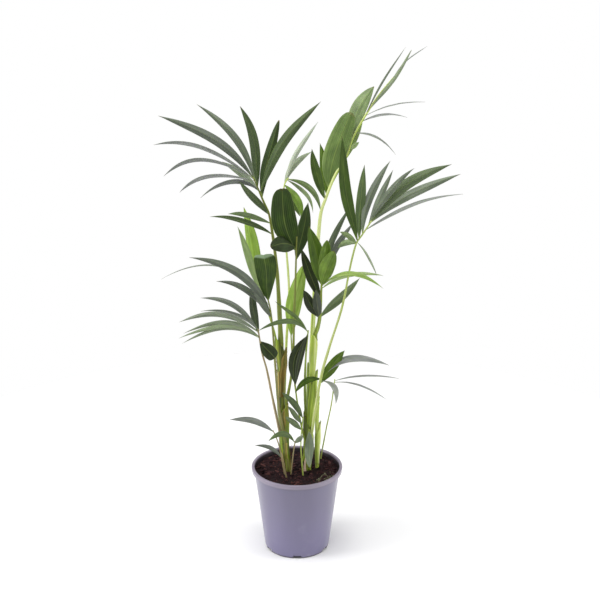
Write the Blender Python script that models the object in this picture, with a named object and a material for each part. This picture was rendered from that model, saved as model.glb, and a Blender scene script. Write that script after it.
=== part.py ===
"""Young kentia palms in a round nursery pot: the pot, its soil, four stems, their fronds and some seedlings.

Metres, +Z up. The origin is the middle of the pot's underside. The front of the plant looks along -Y.
"""

import math
from collections import namedtuple

import bmesh
import bpy
from mathutils import Matrix, Vector

# Pot
POT_HEIGHT = 0.203
RIM_RADIUS = 0.1055
RIM_HEIGHT = 0.011
RIM_OVERHANG = 0.0065
RIM_ROUNDING = 0.002
LIP_BEVEL = 0.001
WALL = 0.0016
FOOT_RADIUS = 0.0745
FOOT_WALL = 0.0022
FOOT_HEIGHT = 0.008
FOOT_CORNER = 0.006
FOOT_BULGE = 0.0015
FLOOR = 0.0022
HUB_RADIUS = 0.016
HUB_DRAFT = 0.003
NOTCHES = 6
NOTCH_WIDTH = 0.019
NOTCH_HEIGHT = 0.007
NOTCH_DEPTH = 0.012
DRAIN_HOLES = 6
DRAIN_RADIUS = 0.005
DRAIN_CIRCLE = 0.045
POT_SIDES = 60

# Soil, and the sockets that the stems stand in
SOIL_BELOW_RIM = 0.010
SOIL_TOP = POT_HEIGHT - SOIL_BELOW_RIM
ROOTED_DEPTH = 0.025
SOCKET_SIDES = 12
WALL_CLEARANCE = 0.0155
LOW_REAR_BEARING = math.radians(44.5)
GAP = 0.0003

# Palms
GROWTH = 1.0
STEM_FOOT_RADIUS = 0.0070
STEM_TOP_RADIUS = 0.0064
THIN_STEM_RADIUS = 0.0045
STALK_RADIUS = 0.0042
THIN_STALK_RADIUS = 0.0027
RACHIS_RADIUS = 0.0016
SEEDLING_RADIUS = 0.0018
SEEDLING_TOP_RADIUS = 0.0013
HUSK_RADIUS = 0.0032
HUG_LENGTH = 0.045
JOINT_LENGTH = 0.012
SET_IN = 0.004
LEAF_THICKNESS = 0.0012
LEAF_WIDTH = 1.0
STALK_SIDES = 6
STEM_POINTS = 10
CURVE_STEPS = 12

# The middle line of each stem, from its foot, with heights above the soil
LEFT_STEM = [(-0.020, -0.010, 0.0), (-0.028, -0.010, 0.08), (-0.035, -0.010, 0.18), (-0.036, -0.015, 0.32)]
MIDDLE_STEM = [(0.025, 0.0, 0.0), (0.028, 0.0, 0.10), (0.032, 0.0, 0.20), (0.040, -0.015, 0.33)]
RIGHT_STEM = [(0.047, 0.010, 0.0), (0.046, 0.005, 0.12), (0.048, -0.004, 0.185)]
REAR_STEM = [(0.020, 0.045, 0.0), (0.026, 0.045, 0.10), (0.033, 0.048, 0.24)]

# The stations where a leaflet's section is set, and where it is widest, as shares of its length
LEAF_STATIONS = (0.0, 0.1, 0.3, 0.55, 0.8, 1.0)
WIDEST_AT = 0.45
WIDEST_WHEN_BLUNT = 0.9

# back: how far below the end of its stalk a leaflet sits. angle: from upright, to the right. lean: to the
# front. bow: how far the middle stands above the straight line to the tip. roll: the blade's turn about its
# midrib. blunt: the tip's width as a share of the widest.
Leaflet = namedtuple(
    "Leaflet", "back angle lean length width bow roll blunt", defaults=(0.0, 0.0, 0.08)
)


def material(name, colour, roughness):
    """A plain Principled finish."""
    made = bpy.data.materials.new(name)
    made.use_nodes = True
    shader = made.node_tree.nodes["Principled BSDF"]
    shader.inputs["Base Color"].default_value = (*colour, 1.0)
    shader.inputs["Roughness"].default_value = roughness
    shader.inputs["Metallic"].default_value = 0.0
    return made


def add_object(name, bm, finish=None):
    """The bmesh as a smooth-shaded object of this name."""
    bmesh.ops.recalc_face_normals(bm, faces=bm.faces)
    mesh = bpy.data.meshes.new(name)
    bm.to_mesh(mesh)
    bm.free()
    thing = bpy.data.objects.new(name, mesh)
    bpy.context.scene.collection.objects.link(thing)
    if finish:
        mesh.materials.append(finish)
    mesh.shade_smooth()
    mesh.set_sharp_from_angle(angle=math.radians(35))
    return thing


def as_helper(thing):
    """Marks a cutter or a piece that a Boolean joins on, which isn't a node itself."""
    thing.hide_render = True
    thing.display_type = "WIRE"


def combine(thing, helper, operation):
    """A live Boolean of the thing with a helper."""
    as_helper(helper)
    boolean = thing.modifiers.new(helper.name, "BOOLEAN")
    boolean.object = helper
    boolean.operation = operation
    boolean.solver = "EXACT"
    boolean.use_self = operation == "UNION"


def turned(bm, profile, sides):
    """Spins an (r, z) profile, whose two ends are on the axis, into a closed shell."""
    verts = [bm.verts.new((r, 0.0, z)) for r, z in profile]
    edges = [bm.edges.new(pair) for pair in zip(verts, verts[1:])]
    bmesh.ops.spin(
        bm, geom=verts + edges, axis=(0, 0, 1), cent=(0, 0, 0), angle=math.tau, steps=sides, use_merge=True
    )
    bmesh.ops.remove_doubles(bm, verts=bm.verts, dist=1e-6)


def grown(bm, rings):
    """A closed solid through the rings: an end face is extruded from each ring to the next."""
    first = end = bm.faces.new([bm.verts.new(point) for point in rings[0]])
    for ring in rings[1:]:
        moved = bmesh.ops.extrude_face_region(bm, geom=[end])["geom"]
        if end is not first:
            bm.faces.remove(end)
        end = next(item for item in moved if isinstance(item, bmesh.types.BMFace))
        for vert, point in zip(end.verts, ring):
            vert.co = point


def smooth_curve(points, count):
    """Evenly spaced points on a smooth curve that passes through the given ones."""
    fine = []
    last = len(points) - 1
    for i in range(last):
        p0, p1, p2, p3 = (points[min(max(k, 0), last)] for k in (i - 1, i, i + 1, i + 2))
        for step in range(CURVE_STEPS):
            t = step / CURVE_STEPS
            fine.append(
                0.5 * (2 * p1 + (p2 - p0) * t + (2 * p0 - 5 * p1 + 4 * p2 - p3) * t**2
                       + (3 * p1 - p0 - 3 * p2 + p3) * t**3)
            )
    fine.append(points[-1].copy())
    return [point_at(fine, i / (count - 1)) for i in range(count)]


def curve_length(points):
    """The length of a run of points."""
    return sum((b - a).length for a, b in zip(points, points[1:]))


def point_at(points, share):
    """The point at this share of a run's length."""
    left = share * curve_length(points)
    for a, b in zip(points, points[1:]):
        step = (b - a).length
        if left <= step and step > 0:
            return a.lerp(b, left / step)
        left -= step
    return points[-1].copy()


def direction_at(points, i):
    """The direction of a run of points at point i."""
    return (points[min(i + 1, len(points) - 1)] - points[max(i - 1, 0)]).normalized()


def across(direction, facing):
    """Two unit vectors square to the direction: the first is sideways, the second is nearest to facing."""
    side = direction.cross(facing).normalized()
    return side, side.cross(direction).normalized()


def round_ring(centre, direction, radius, sides):
    """The corners of a round section."""
    side, front = across(direction, Vector((0.0, -1.0, 0.1)))
    turns = [math.tau * k / sides for k in range(sides)]
    return [centre + radius * (math.cos(a) * side + math.sin(a) * front) for a in turns]


def stalk_solid(bm, points, first_radius, last_radius):
    """A round, tapering stalk along a run of points."""
    last = len(points) - 1
    rings = []
    for i, point in enumerate(points):
        radius = first_radius + (last_radius - first_radius) * i / last
        rings.append(round_ring(point, direction_at(points, i), radius, STALK_SIDES))
    grown(bm, rings)


def leaf_width(share, blunt):
    """A leaflet's width at a share of its length, where its widest is 1. A very blunt one is widest near its end."""
    widest = WIDEST_AT + (WIDEST_WHEN_BLUNT - WIDEST_AT) * max(0.0, blunt - 0.7) / 0.3
    if share < widest:
        return 0.25 + 0.75 * math.sin(0.5 * math.pi * share / widest)
    taper = math.cos(0.5 * math.pi * ((share - widest) / (1.0 - widest)) ** 1.3)
    return blunt + (1.0 - blunt) * taper


def leaflet_midline(base, leaflet):
    """The leaflet's midrib, from its base: an arc to the tip that stands above the straight line by bow."""
    angle, lean = math.radians(leaflet.angle), math.radians(leaflet.lean)
    reach = Vector((math.sin(angle) * math.cos(lean), -math.sin(lean), math.cos(angle) * math.cos(lean)))
    inward = angle + math.copysign(math.pi / 2, -leaflet.angle)
    lift = Vector((math.sin(inward), 0.0, math.cos(inward)))
    return [
        base + GROWTH * (leaflet.length * t * reach + 4.0 * leaflet.bow * t * (1.0 - t) * lift)
        for t in LEAF_STATIONS
    ]


def leaflet_solid(bm, base, leaflet):
    """One flat blade, from inside its stalk to its tip."""
    line = leaflet_midline(base, leaflet)
    facing = Vector((0.0, -1.0, 0.5)) if abs(leaflet.lean) < 45 else Vector((0.0, 0.0, 1.0))
    flat, upper = across((line[-1] - line[0]).normalized(), facing)
    roll = math.radians(leaflet.roll)
    breadth = math.cos(roll) * flat + math.sin(roll) * upper
    rings = []
    for i, (share, centre) in enumerate(zip(LEAF_STATIONS, line)):
        direction = direction_at(line, i)
        side = (breadth - direction * direction.dot(breadth)).normalized()
        face = side.cross(direction)
        half = 0.5 * LEAF_WIDTH * GROWTH * leaflet.width * leaf_width(share, leaflet.blunt)
        if share == 0.0:
            half = min(half, 0.8 * RACHIS_RADIUS)
        out, up = half * side, 0.5 * LEAF_THICKNESS * face
        rings.append([centre - out + up, centre + out + up, centre + out - up, centre - out - up])
    grown(bm, rings)


def above_soil(points, root):
    """Points of a palm, with heights above the soil, in the part's frame. It grows out from its own foot."""
    foot = Vector((root[0], root[1], SOIL_TOP))
    return [foot + GROWTH * (Vector(point) - Vector((root[0], root[1], 0.0))) for point in points]


def stem_run(points):
    """A stem's smooth run from its rooted end to its top."""
    run = smooth_curve(above_soil(points, points[0]), STEM_POINTS)
    return [run[0] - Vector((0.0, 0.0, ROOTED_DEPTH))] + run


def stem(name, points, foot_radius, top_radius, finish):
    """A stem, and the socket that it stands in."""
    run = stem_run(points)
    bm = bmesh.new()
    stalk_solid(bm, run, foot_radius, top_radius)
    add_object(name, bm, finish)
    socket(name, points[0], foot_radius)


def socket(name, foot, radius):
    """A hole in the soil for a stem or a seedling."""
    bm = bmesh.new()
    bore = radius + 2 * GAP
    depth = 2 * (ROOTED_DEPTH + GAP)
    bmesh.ops.create_cone(
        bm, cap_ends=True, segments=SOCKET_SIDES, radius1=bore, radius2=bore, depth=depth
    )
    bmesh.ops.translate(bm, verts=bm.verts, vec=(foot[0], foot[1], SOIL_TOP))
    combine(bpy.data.objects["soil"], add_object(name + ".socket", bm), "DIFFERENCE")


def hugging_points(stem_points, height, bearing, radius):
    """Three points beside a stem, where a stalk of this radius lies along it before it parts from it."""
    run = stem_run(stem_points)[1:]
    outward = Vector((math.cos(math.radians(bearing)), math.sin(math.radians(bearing)), 0.0))
    tall = curve_length(run)
    found = []
    for step in (0.0, 0.5, 1.0):
        share = (GROWTH * height + step * HUG_LENGTH) / tall
        beside = STEM_FOOT_RADIUS + (STEM_TOP_RADIUS - STEM_FOOT_RADIUS) * share
        found.append(point_at(run, share) + (beside + radius + 2 * GAP) * outward)
    return found


def on_top(stem_points):
    """The first points of a frond that carries a stem on, in line with it and just clear of its top."""
    run = stem_run(stem_points)
    onward = direction_at(run, len(run) - 1)
    return [run[-1] + 2 * GAP * onward, run[-1] + JOINT_LENGTH * onward]


def frond(name, root, feet, stalk, leaflets, finish, radii=(STALK_RADIUS, RACHIS_RADIUS)):
    """A frond: one solid of its stalk and its leaflets.

    Root is the foot of its palm. Feet are the frond's first points, in the part's frame.
    """
    free = feet[-1:] + above_soil(stalk, root)
    run = feet[:-1] + smooth_curve(free, 3 + 2 * len(free))
    bm = bmesh.new()
    stalk_solid(bm, run, *radii)
    made = add_object(name, bm, finish)
    length = curve_length(run)
    bm = bmesh.new()
    for leaflet in leaflets:
        leaflet_solid(bm, point_at(run, 1.0 - (GROWTH * leaflet.back + SET_IN) / length), leaflet)
    combine(made, add_object(name + ".leaflets", bm), "UNION")


def seedling(name, stalk, leaflets, finish):
    """A thin young shoot, rooted in a socket of its own."""
    x, y, _ = stalk[0]
    feet = [Vector((x, y, SOIL_TOP - ROOTED_DEPTH)), Vector((x, y, SOIL_TOP))]
    frond(name, stalk[0], feet, stalk[1:], leaflets, finish, (SEEDLING_RADIUS, SEEDLING_TOP_RADIUS))
    socket(name, stalk[0], SEEDLING_RADIUS)


def pot_profile():
    """The pot's (r, z) outline from the middle of its floor, up the inside, over the rim and down outside."""
    neck = RIM_RADIUS - RIM_OVERHANG
    lip = POT_HEIGHT - RIM_HEIGHT
    floor_top = FOOT_HEIGHT + FLOOR
    mouth = inner_radius(POT_HEIGHT)
    low_wall = 5 * FOOT_CORNER
    return [
        (0.0, floor_top),
        (inner_radius(floor_top), floor_top),
        (inner_radius(lip), lip),
        (mouth, POT_HEIGHT - LIP_BEVEL),
        (mouth + LIP_BEVEL, POT_HEIGHT),
        (RIM_RADIUS - RIM_ROUNDING, POT_HEIGHT),
        (RIM_RADIUS, POT_HEIGHT - RIM_ROUNDING),
        (RIM_RADIUS - 0.25 * RIM_ROUNDING, lip),
        (neck, lip),
        (outer_radius(low_wall), low_wall),
        (outer_radius(FOOT_CORNER), FOOT_CORNER),
        (FOOT_RADIUS + 0.7 * FOOT_BULGE, FOOT_CORNER / 3),
        (FOOT_RADIUS - 0.3 * FOOT_BULGE, 0.0),
        (FOOT_RADIUS - FOOT_WALL, 0.0),
        (FOOT_RADIUS - FOOT_WALL, FOOT_HEIGHT),
        (HUB_RADIUS + HUB_DRAFT, FOOT_HEIGHT),
        (HUB_RADIUS, 0.0),
        (0.0, 0.0),
    ]


def outer_radius(z):
    """The outside of the wall, which widens evenly from its foot to its rim."""
    neck = RIM_RADIUS - RIM_OVERHANG
    lip = POT_HEIGHT - RIM_HEIGHT
    start = FOOT_RADIUS + FOOT_BULGE
    return start + (neck - start) * (z - FOOT_CORNER) / (lip - FOOT_CORNER)


def inner_radius(z):
    """The inside of the wall."""
    return outer_radius(z) - WALL


def make_pot(finish):
    """The pot, with notches under its foot and holes in its floor to drain it."""
    bm = bmesh.new()
    turned(bm, pot_profile(), POT_SIDES)
    pot = add_object("pot", bm, finish)
    bm = bmesh.new()
    for i in range(NOTCHES):
        turn = math.tau * i / NOTCHES - math.pi / 2
        notch = bmesh.ops.create_cube(bm, size=1.0)["verts"]
        bmesh.ops.scale(bm, verts=notch, vec=(NOTCH_DEPTH, NOTCH_WIDTH, 2 * NOTCH_HEIGHT))
        bmesh.ops.translate(bm, verts=notch, vec=(FOOT_RADIUS, 0.0, 0.0))
        bmesh.ops.rotate(bm, verts=notch, cent=(0, 0, 0), matrix=Matrix.Rotation(turn, 3, "Z"))
    combine(pot, add_object("pot.notches", bm), "DIFFERENCE")
    bm = bmesh.new()
    for i in range(DRAIN_HOLES):
        turn = math.tau * (i + 0.5) / DRAIN_HOLES - math.pi / 2
        hole = bmesh.ops.create_cone(
            bm, cap_ends=True, segments=16, radius1=DRAIN_RADIUS, radius2=DRAIN_RADIUS, depth=4 * FOOT_HEIGHT
        )["verts"]
        middle = (DRAIN_CIRCLE * math.cos(turn), DRAIN_CIRCLE * math.sin(turn), FOOT_HEIGHT)
        bmesh.ops.translate(bm, verts=hole, vec=middle)
    combine(pot, add_object("pot.drains", bm), "DIFFERENCE")


def make_soil(finish):
    """The soil, which fills the pot to just under its rim."""
    floor = FOOT_HEIGHT + FLOOR + GAP
    low, high = inner_radius(floor) - 2 * GAP, inner_radius(SOIL_TOP) - 2 * GAP
    bm = bmesh.new()
    turned(bm, [(0.0, SOIL_TOP), (high, SOIL_TOP), (low, floor), (0.0, floor)], POT_SIDES)
    add_object("soil", bm, finish)


def make_stems(finish):
    """The four stems, each the rolled leaf bases of one palm."""
    stem("stem_left", LEFT_STEM, STEM_FOOT_RADIUS, STEM_TOP_RADIUS, finish)
    stem("stem_middle", MIDDLE_STEM, STEM_FOOT_RADIUS, STEM_TOP_RADIUS, finish)
    stem("stem_right", RIGHT_STEM, THIN_STEM_RADIUS, THIN_STEM_RADIUS, finish)
    stem("stem_rear", REAR_STEM, STEM_FOOT_RADIUS, STEM_TOP_RADIUS, finish)


def make_husk(finish):
    """The dry sheath of an old leaf, which stands beside the middle stem's foot."""
    stem("husk", [(0.0185, -0.0125, 0.0), (0.018, -0.014, 0.015), (0.020, -0.015, 0.036)], HUSK_RADIUS,
         0.4 * HUSK_RADIUS, finish)


def make_left_fronds(greens):
    """The fronds of the left stem."""
    frond(
        "frond_upper_left",
        LEFT_STEM[0],
        on_top(LEFT_STEM),
        [(-0.043, -0.035, 0.495), (-0.057, -0.045, 0.615), (-0.069, -0.049, 0.650), (-0.091, -0.062, 0.709)],
        [
            Leaflet(0.000, -51, 22, 0.255, 0.020, 0.021),
            Leaflet(0.005, -76, -24, 0.250, 0.018, 0.029, 55),
            Leaflet(0.010, -39, -18, 0.208, 0.019, 0.021),
            Leaflet(0.022, -9, 26, 0.210, 0.021, 0.011),
            Leaflet(0.048, 13, -17, 0.168, 0.023, 0.007),
            Leaflet(0.035, 31, 23, 0.265, 0.022, 0.013),
            Leaflet(0.002, -97, -34, 0.250, 0.016, 0.037, 60),
            Leaflet(0.007, -109, -39, 0.238, 0.016, 0.024, 60),
            Leaflet(0.030, -85, 42, 0.155, 0.016, 0.028, 50),
            Leaflet(0.032, -61, -42, 0.127, 0.016, 0.004, 30),
            Leaflet(0.090, -35, 27, 0.118, 0.016, 0.000, 20),
            Leaflet(0.110, -87, -34, 0.115, 0.014, 0.007, 40),
            Leaflet(0.135, -66, 25, 0.155, 0.014, 0.012, 45),
        ],
        greens["dark"],
        (STEM_TOP_RADIUS, RACHIS_RADIUS),
    )
    frond(
        "frond_centre",
        LEFT_STEM[0],
        hugging_points(LEFT_STEM, 0.13, -20, STALK_RADIUS),
        [(-0.010, -0.035, 0.27), (-0.006, -0.050, 0.385), (-0.002, -0.070, 0.51), (0.000, -0.080, 0.585)],
        [
            Leaflet(0.030, -11, 16, 0.155, 0.056, -0.008, 0, 0.55),
            Leaflet(0.022, -76, 36, 0.068, 0.038, 0.008, 0, 0.35),
            Leaflet(0.050, 12, -9, 0.125, 0.030, 0.0),
        ],
        greens["dark"],
    )
    frond(
        "frond_lower_left",
        LEFT_STEM[0],
        hugging_points(LEFT_STEM, 0.06, 215, STALK_RADIUS),
        [(-0.054, -0.043, 0.195), (-0.066, -0.062, 0.273), (-0.076, -0.079, 0.323), (-0.083, -0.097, 0.383)],
        [
            Leaflet(0.000, -67, -23, 0.151, 0.013, 0.021),
            Leaflet(0.002, -56, 33, 0.166, 0.012, 0.020, 60),
            Leaflet(0.005, -81, 3, 0.172, 0.013, 0.027, 20),
            Leaflet(0.018, -73, 39, 0.214, 0.019, 0.028, 0, 0.3),
            Leaflet(0.010, -10, -32, 0.114, 0.018, -0.003),
            Leaflet(0.030, 140, 0, 0.050, 0.030, 0.0, 0, 0.65),
        ],
        greens["dark"],
    )
    frond(
        "frond_folded_left",
        LEFT_STEM[0],
        hugging_points(LEFT_STEM, 0.04, 275, STALK_RADIUS),
        [(-0.042, -0.040, 0.19), (-0.054, -0.067, 0.39), (-0.062, -0.080, 0.445)],
        [
            Leaflet(0.000, -4, 18, 0.120, 0.052, 0.0, 0, 0.9),
            Leaflet(0.015, -80, -14, 0.250, 0.004, 0.060),
            Leaflet(0.035, -48, 18, 0.236, 0.019, 0.032),
            Leaflet(0.040, -58, -6, 0.141, 0.015, 0.022),
            Leaflet(0.045, -25, 31, 0.100, 0.012, 0.0),
        ],
        greens["olive"],
    )
    frond(
        "frond_young_left",
        LEFT_STEM[0],
        hugging_points(LEFT_STEM, 0.15, 120, STALK_RADIUS),
        [(-0.046, 0.030, 0.300), (-0.066, 0.058, 0.370), (-0.080, 0.074, 0.415)],
        [Leaflet(0.000, -13, -18, 0.197, 0.036, 0.0, 0, 0.2), Leaflet(0.010, -20, -7, 0.170, 0.018, 0.0)],
        greens["pale"],
    )


def make_middle_fronds(greens):
    """The fronds of the middle stem."""
    frond(
        "frond_bright",
        MIDDLE_STEM[0],
        on_top(MIDDLE_STEM),
        [(0.050, -0.045, 0.39), (0.054, -0.073, 0.497)],
        [
            Leaflet(0.020, -11, 18, 0.154, 0.033, 0.0),
            Leaflet(0.000, 5, 35, 0.125, 0.027, 0.0, 0, 0.3),
            Leaflet(0.022, 12, 43, 0.150, 0.034, 0.0, 0, 0.4),
            Leaflet(0.024, 82, 28, 0.146, 0.012, 0.033, 20),
            Leaflet(0.030, 87, -27, 0.155, 0.012, 0.019, 20),
            Leaflet(0.002, 22, -12, 0.163, 0.014, 0.008),
            Leaflet(0.004, 32, -23, 0.140, 0.016, 0.004),
            Leaflet(0.105, 50, -23, 0.126, 0.020, 0.0),
            Leaflet(0.107, -24, 28, 0.100, 0.024, 0.0),
            Leaflet(0.109, -6, 36, 0.110, 0.020, 0.0),
            Leaflet(0.060, -22, -18, 0.122, 0.024, 0.0),
        ],
        greens["pale"],
        (STEM_TOP_RADIUS, RACHIS_RADIUS),
    )
    frond(
        "frond_right",
        MIDDLE_STEM[0],
        hugging_points(MIDDLE_STEM, 0.05, 300, STALK_RADIUS),
        [(0.052, -0.033, 0.235), (0.071, -0.048, 0.32), (0.090, -0.062, 0.39), (0.101, -0.074, 0.44),
         (0.114, -0.088, 0.523), (0.125, -0.099, 0.575), (0.136, -0.104, 0.594), (0.156, -0.114, 0.630)],
        [
            Leaflet(0.055, -9, 14, 0.243, 0.025, -0.003),
            Leaflet(0.048, 5, -27, 0.160, 0.021, 0.003),
            Leaflet(0.035, 25, -35, 0.180, 0.018, 0.014),
            Leaflet(0.012, 28, -32, 0.137, 0.014, 0.0),
            Leaflet(0.002, 31, 28, 0.175, 0.015, 0.012),
            Leaflet(0.000, 46, 27, 0.232, 0.024, 0.016),
            Leaflet(0.004, 63, -9, 0.214, 0.020, 0.013),
            Leaflet(0.022, 77, -26, 0.245, 0.017, 0.016, 40),
            Leaflet(0.057, 145, 40, 0.090, 0.005, 0.005),
            Leaflet(0.059, -49, 31, 0.057, 0.012, 0.003),
            Leaflet(0.061, -117, -35, 0.053, 0.014, 0.008),
        ],
        greens["dark"],
    )
    frond(
        "frond_inner_left",
        MIDDLE_STEM[0],
        hugging_points(MIDDLE_STEM, 0.10, 150, STALK_RADIUS),
        [(0.018, 0.002, 0.21), (0.020, -0.022, 0.29), (0.025, -0.048, 0.362)],
        [
            Leaflet(0.000, -75, 33, 0.132, 0.012, 0.026),
            Leaflet(0.002, -39, 22, 0.122, 0.009, 0.005),
            Leaflet(0.004, -165, 28, 0.117, 0.014, 0.003),
            Leaflet(0.012, -166, 13, 0.113, 0.026, 0.014),
        ],
        greens["olive"],
    )
    frond(
        "leaf_folded_low",
        MIDDLE_STEM[0],
        hugging_points(MIDDLE_STEM, 0.03, 252, THIN_STALK_RADIUS),
        [(0.028, -0.022, 0.112)],
        [Leaflet(0.000, 179, 30, 0.085, 0.024, 0.0, 0, 0.2)],
        greens["olive"],
        (THIN_STALK_RADIUS, RACHIS_RADIUS),
    )
    frond(
        "leaf_young_centre",
        MIDDLE_STEM[0],
        hugging_points(MIDDLE_STEM, 0.03, 210, THIN_STALK_RADIUS),
        [(0.005, -0.002, 0.14), (-0.008, -0.004, 0.25), (-0.013, -0.006, 0.335)],
        [Leaflet(0.000, 9, 2, 0.170, 0.040, 0.004, 0, 0.4)],
        greens["pale"],
        (THIN_STALK_RADIUS, RACHIS_RADIUS),
    )


def make_rear_fronds(greens):
    """The tall frond of the rear stem, and the left stem's frond behind it."""
    frond(
        "frond_tall",
        REAR_STEM[0],
        on_top(REAR_STEM),
        [(0.036, 0.060, 0.325), (0.043, 0.080, 0.449), (0.052, 0.103, 0.573), (0.064, 0.113, 0.617),
         (0.086, 0.128, 0.670), (0.108, 0.139, 0.703), (0.124, 0.152, 0.745), (0.142, 0.163, 0.778),
         (0.180, 0.183, 0.835), (0.219, 0.198, 0.880)],
        [
            Leaflet(0.290, 17, -14, 0.178, 0.052, 0.012, 0, 0.65),
            Leaflet(0.220, 25, -32, 0.118, 0.024, 0.0, 0, 0.4),
            Leaflet(0.160, 25, -29, 0.130, 0.034, 0.014),
            Leaflet(0.110, 31, -10, 0.180, 0.005, 0.003),
            Leaflet(0.000, 50, -20, 0.110, 0.003, 0.006),
            Leaflet(0.095, 36, -10, 0.168, 0.012, -0.002, 0, 0.30),
            Leaflet(0.105, 72, 26, 0.148, 0.013, 0.010, 60),
            Leaflet(0.120, 92, -32, 0.127, 0.013, 0.012, 50),
            Leaflet(0.150, 121, -17, 0.115, 0.012, 0.014, 50),
            Leaflet(0.190, 60, -23, 0.030, 0.012, 0.0),
            Leaflet(0.315, -14, 18, 0.135, 0.022, -0.005),
            Leaflet(0.305, -8, -22, 0.120, 0.020, 0.002),
        ],
        greens["pale"],
        (STEM_TOP_RADIUS, RACHIS_RADIUS),
    )
    frond(
        "frond_rear",
        LEFT_STEM[0],
        hugging_points(LEFT_STEM, 0.12, 70, STALK_RADIUS),
        [(-0.024, 0.045, 0.30), (-0.018, 0.080, 0.41), (-0.027, 0.115, 0.54), (-0.030, 0.137, 0.635),
         (-0.019, 0.144, 0.660)],
        [
            Leaflet(0.010, 31, -28, 0.166, 0.012, 0.008),
            Leaflet(0.012, 47, -42, 0.114, 0.016, 0.012),
            Leaflet(0.014, 149, 36, 0.092, 0.019, 0.010),
            Leaflet(0.030, 146, 7, 0.070, 0.010, 0.001),
            Leaflet(0.000, 137, -13, 0.114, 0.014, 0.022),
            Leaflet(0.002, 148, -33, 0.135, 0.010, 0.015),
        ],
        greens["pale"],
    )


def make_right_fronds(greens):
    """The fronds at the low right."""
    frond(
        "frond_low_right",
        RIGHT_STEM[0],
        on_top(RIGHT_STEM),
        [(0.051, -0.010, 0.215), (0.058, -0.016, 0.242)],
        [
            Leaflet(0.020, 29, 20, 0.118, 0.026, 0.004),
            Leaflet(0.003, 68, 24, 0.172, 0.022, 0.036),
            Leaflet(0.010, 138, 47, 0.070, 0.016, 0.020),
            Leaflet(0.006, -112, 20, 0.068, 0.015, 0.012),
        ],
        greens["olive"],
        (THIN_STEM_RADIUS, RACHIS_RADIUS),
    )
    from_axis = inner_radius(SOIL_TOP - ROOTED_DEPTH) - WALL_CLEARANCE
    x, y = from_axis * math.cos(LOW_REAR_BEARING), from_axis * math.sin(LOW_REAR_BEARING)
    seedling(
        "frond_low_rear",
        [(x, y, 0.0), (x + 0.013, y + 0.001, 0.078), (x + 0.024, y - 0.003, 0.140),
         (x + 0.031, y - 0.023, 0.213)],
        [Leaflet(0.000, 97, -20, 0.165, 0.012, 0.012), Leaflet(0.005, 97, 30, 0.135, 0.012, 0.015)],
        greens["olive"],
    )


def make_seedlings(finish):
    """The small shoots between the stems."""
    seedling(
        "seedling_left",
        [(-0.028, -0.030, 0.0), (-0.041, -0.040, 0.08), (-0.054, -0.050, 0.122)],
        [Leaflet(0.000, -62, 23, 0.118, 0.015, 0.011)],
        finish,
    )
    seedling(
        "seedling_forked",
        [(-0.014, -0.030, 0.0), (-0.009, -0.035, 0.053), (-0.004, -0.040, 0.091)],
        [Leaflet(0.000, -79, 18, 0.065, 0.014, 0.022), Leaflet(0.002, 32, 30, 0.040, 0.012, 0.0)],
        finish,
    )
    seedling(
        "seedling_front",
        [(-0.024, -0.046, 0.0), (-0.030, -0.050, 0.036), (-0.036, -0.056, 0.061)],
        [Leaflet(0.000, -53, 22, 0.080, 0.010, 0.009)],
        finish,
    )
    seedling(
        "seedling_middle",
        [(0.014, -0.032, 0.0), (0.009, -0.036, 0.084), (0.014, -0.042, 0.152)],
        [
            Leaflet(0.000, -33, 13, 0.090, 0.015, 0.004),
            Leaflet(0.014, -30, 24, 0.072, 0.012, 0.0),
            Leaflet(0.030, -41, 20, 0.060, 0.014, 0.0),
        ],
        finish,
    )


def build():
    """The whole plant in its pot."""
    for thing in list(bpy.data.objects):
        bpy.data.objects.remove(thing)
    make_pot(material("pot_plastic", (0.24, 0.22, 0.33), 0.45))
    make_soil(material("soil", (0.02, 0.008, 0.006), 0.95))
    make_stems(material("stem_green", (0.30, 0.40, 0.10), 0.5))
    make_husk(material("dry_husk", (0.55, 0.40, 0.35), 0.8))
    greens = {
        "dark": material("leaf_dark", (0.03, 0.08, 0.03), 0.4),
        "olive": material("leaf_olive", (0.08, 0.15, 0.05), 0.45),
        "pale": material("leaf_pale", (0.16, 0.28, 0.08), 0.5),
    }
    make_left_fronds(greens)
    make_middle_fronds(greens)
    make_rear_fronds(greens)
    make_right_fronds(greens)
    make_seedlings(greens["olive"])


build()
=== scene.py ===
"""The looks of a group of young kentia palms that grow in one round nursery pot.

Every frond has its leaflets and its stalk, every palm its stem with leaf sheaths and fibres, and the soil has
its loose bark. The pieces follow the same design values as the solid model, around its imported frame.
Metres, +Z up. The front of the plant looks along -Y.
"""

import math
import random
from collections import namedtuple

import bmesh
import bpy
from mathutils import Matrix, Vector, noise


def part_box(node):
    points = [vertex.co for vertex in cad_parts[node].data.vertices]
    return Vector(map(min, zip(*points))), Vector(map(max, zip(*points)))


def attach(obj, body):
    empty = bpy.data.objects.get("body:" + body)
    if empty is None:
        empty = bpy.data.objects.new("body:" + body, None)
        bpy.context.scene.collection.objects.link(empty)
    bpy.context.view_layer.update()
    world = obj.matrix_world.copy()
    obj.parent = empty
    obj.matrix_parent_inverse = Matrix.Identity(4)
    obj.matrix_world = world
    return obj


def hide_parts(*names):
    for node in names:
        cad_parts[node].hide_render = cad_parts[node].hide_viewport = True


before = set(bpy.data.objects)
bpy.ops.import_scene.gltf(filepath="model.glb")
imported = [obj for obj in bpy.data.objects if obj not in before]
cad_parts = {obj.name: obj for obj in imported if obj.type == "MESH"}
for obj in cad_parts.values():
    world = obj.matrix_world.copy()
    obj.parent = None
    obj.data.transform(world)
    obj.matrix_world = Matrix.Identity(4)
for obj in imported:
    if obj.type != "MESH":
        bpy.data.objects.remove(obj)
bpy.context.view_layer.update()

BODY = "root"
SOIL_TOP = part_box("soil")[1].z
POT_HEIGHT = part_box("pot")[1].z
RIM_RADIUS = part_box("pot")[1].x

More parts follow.
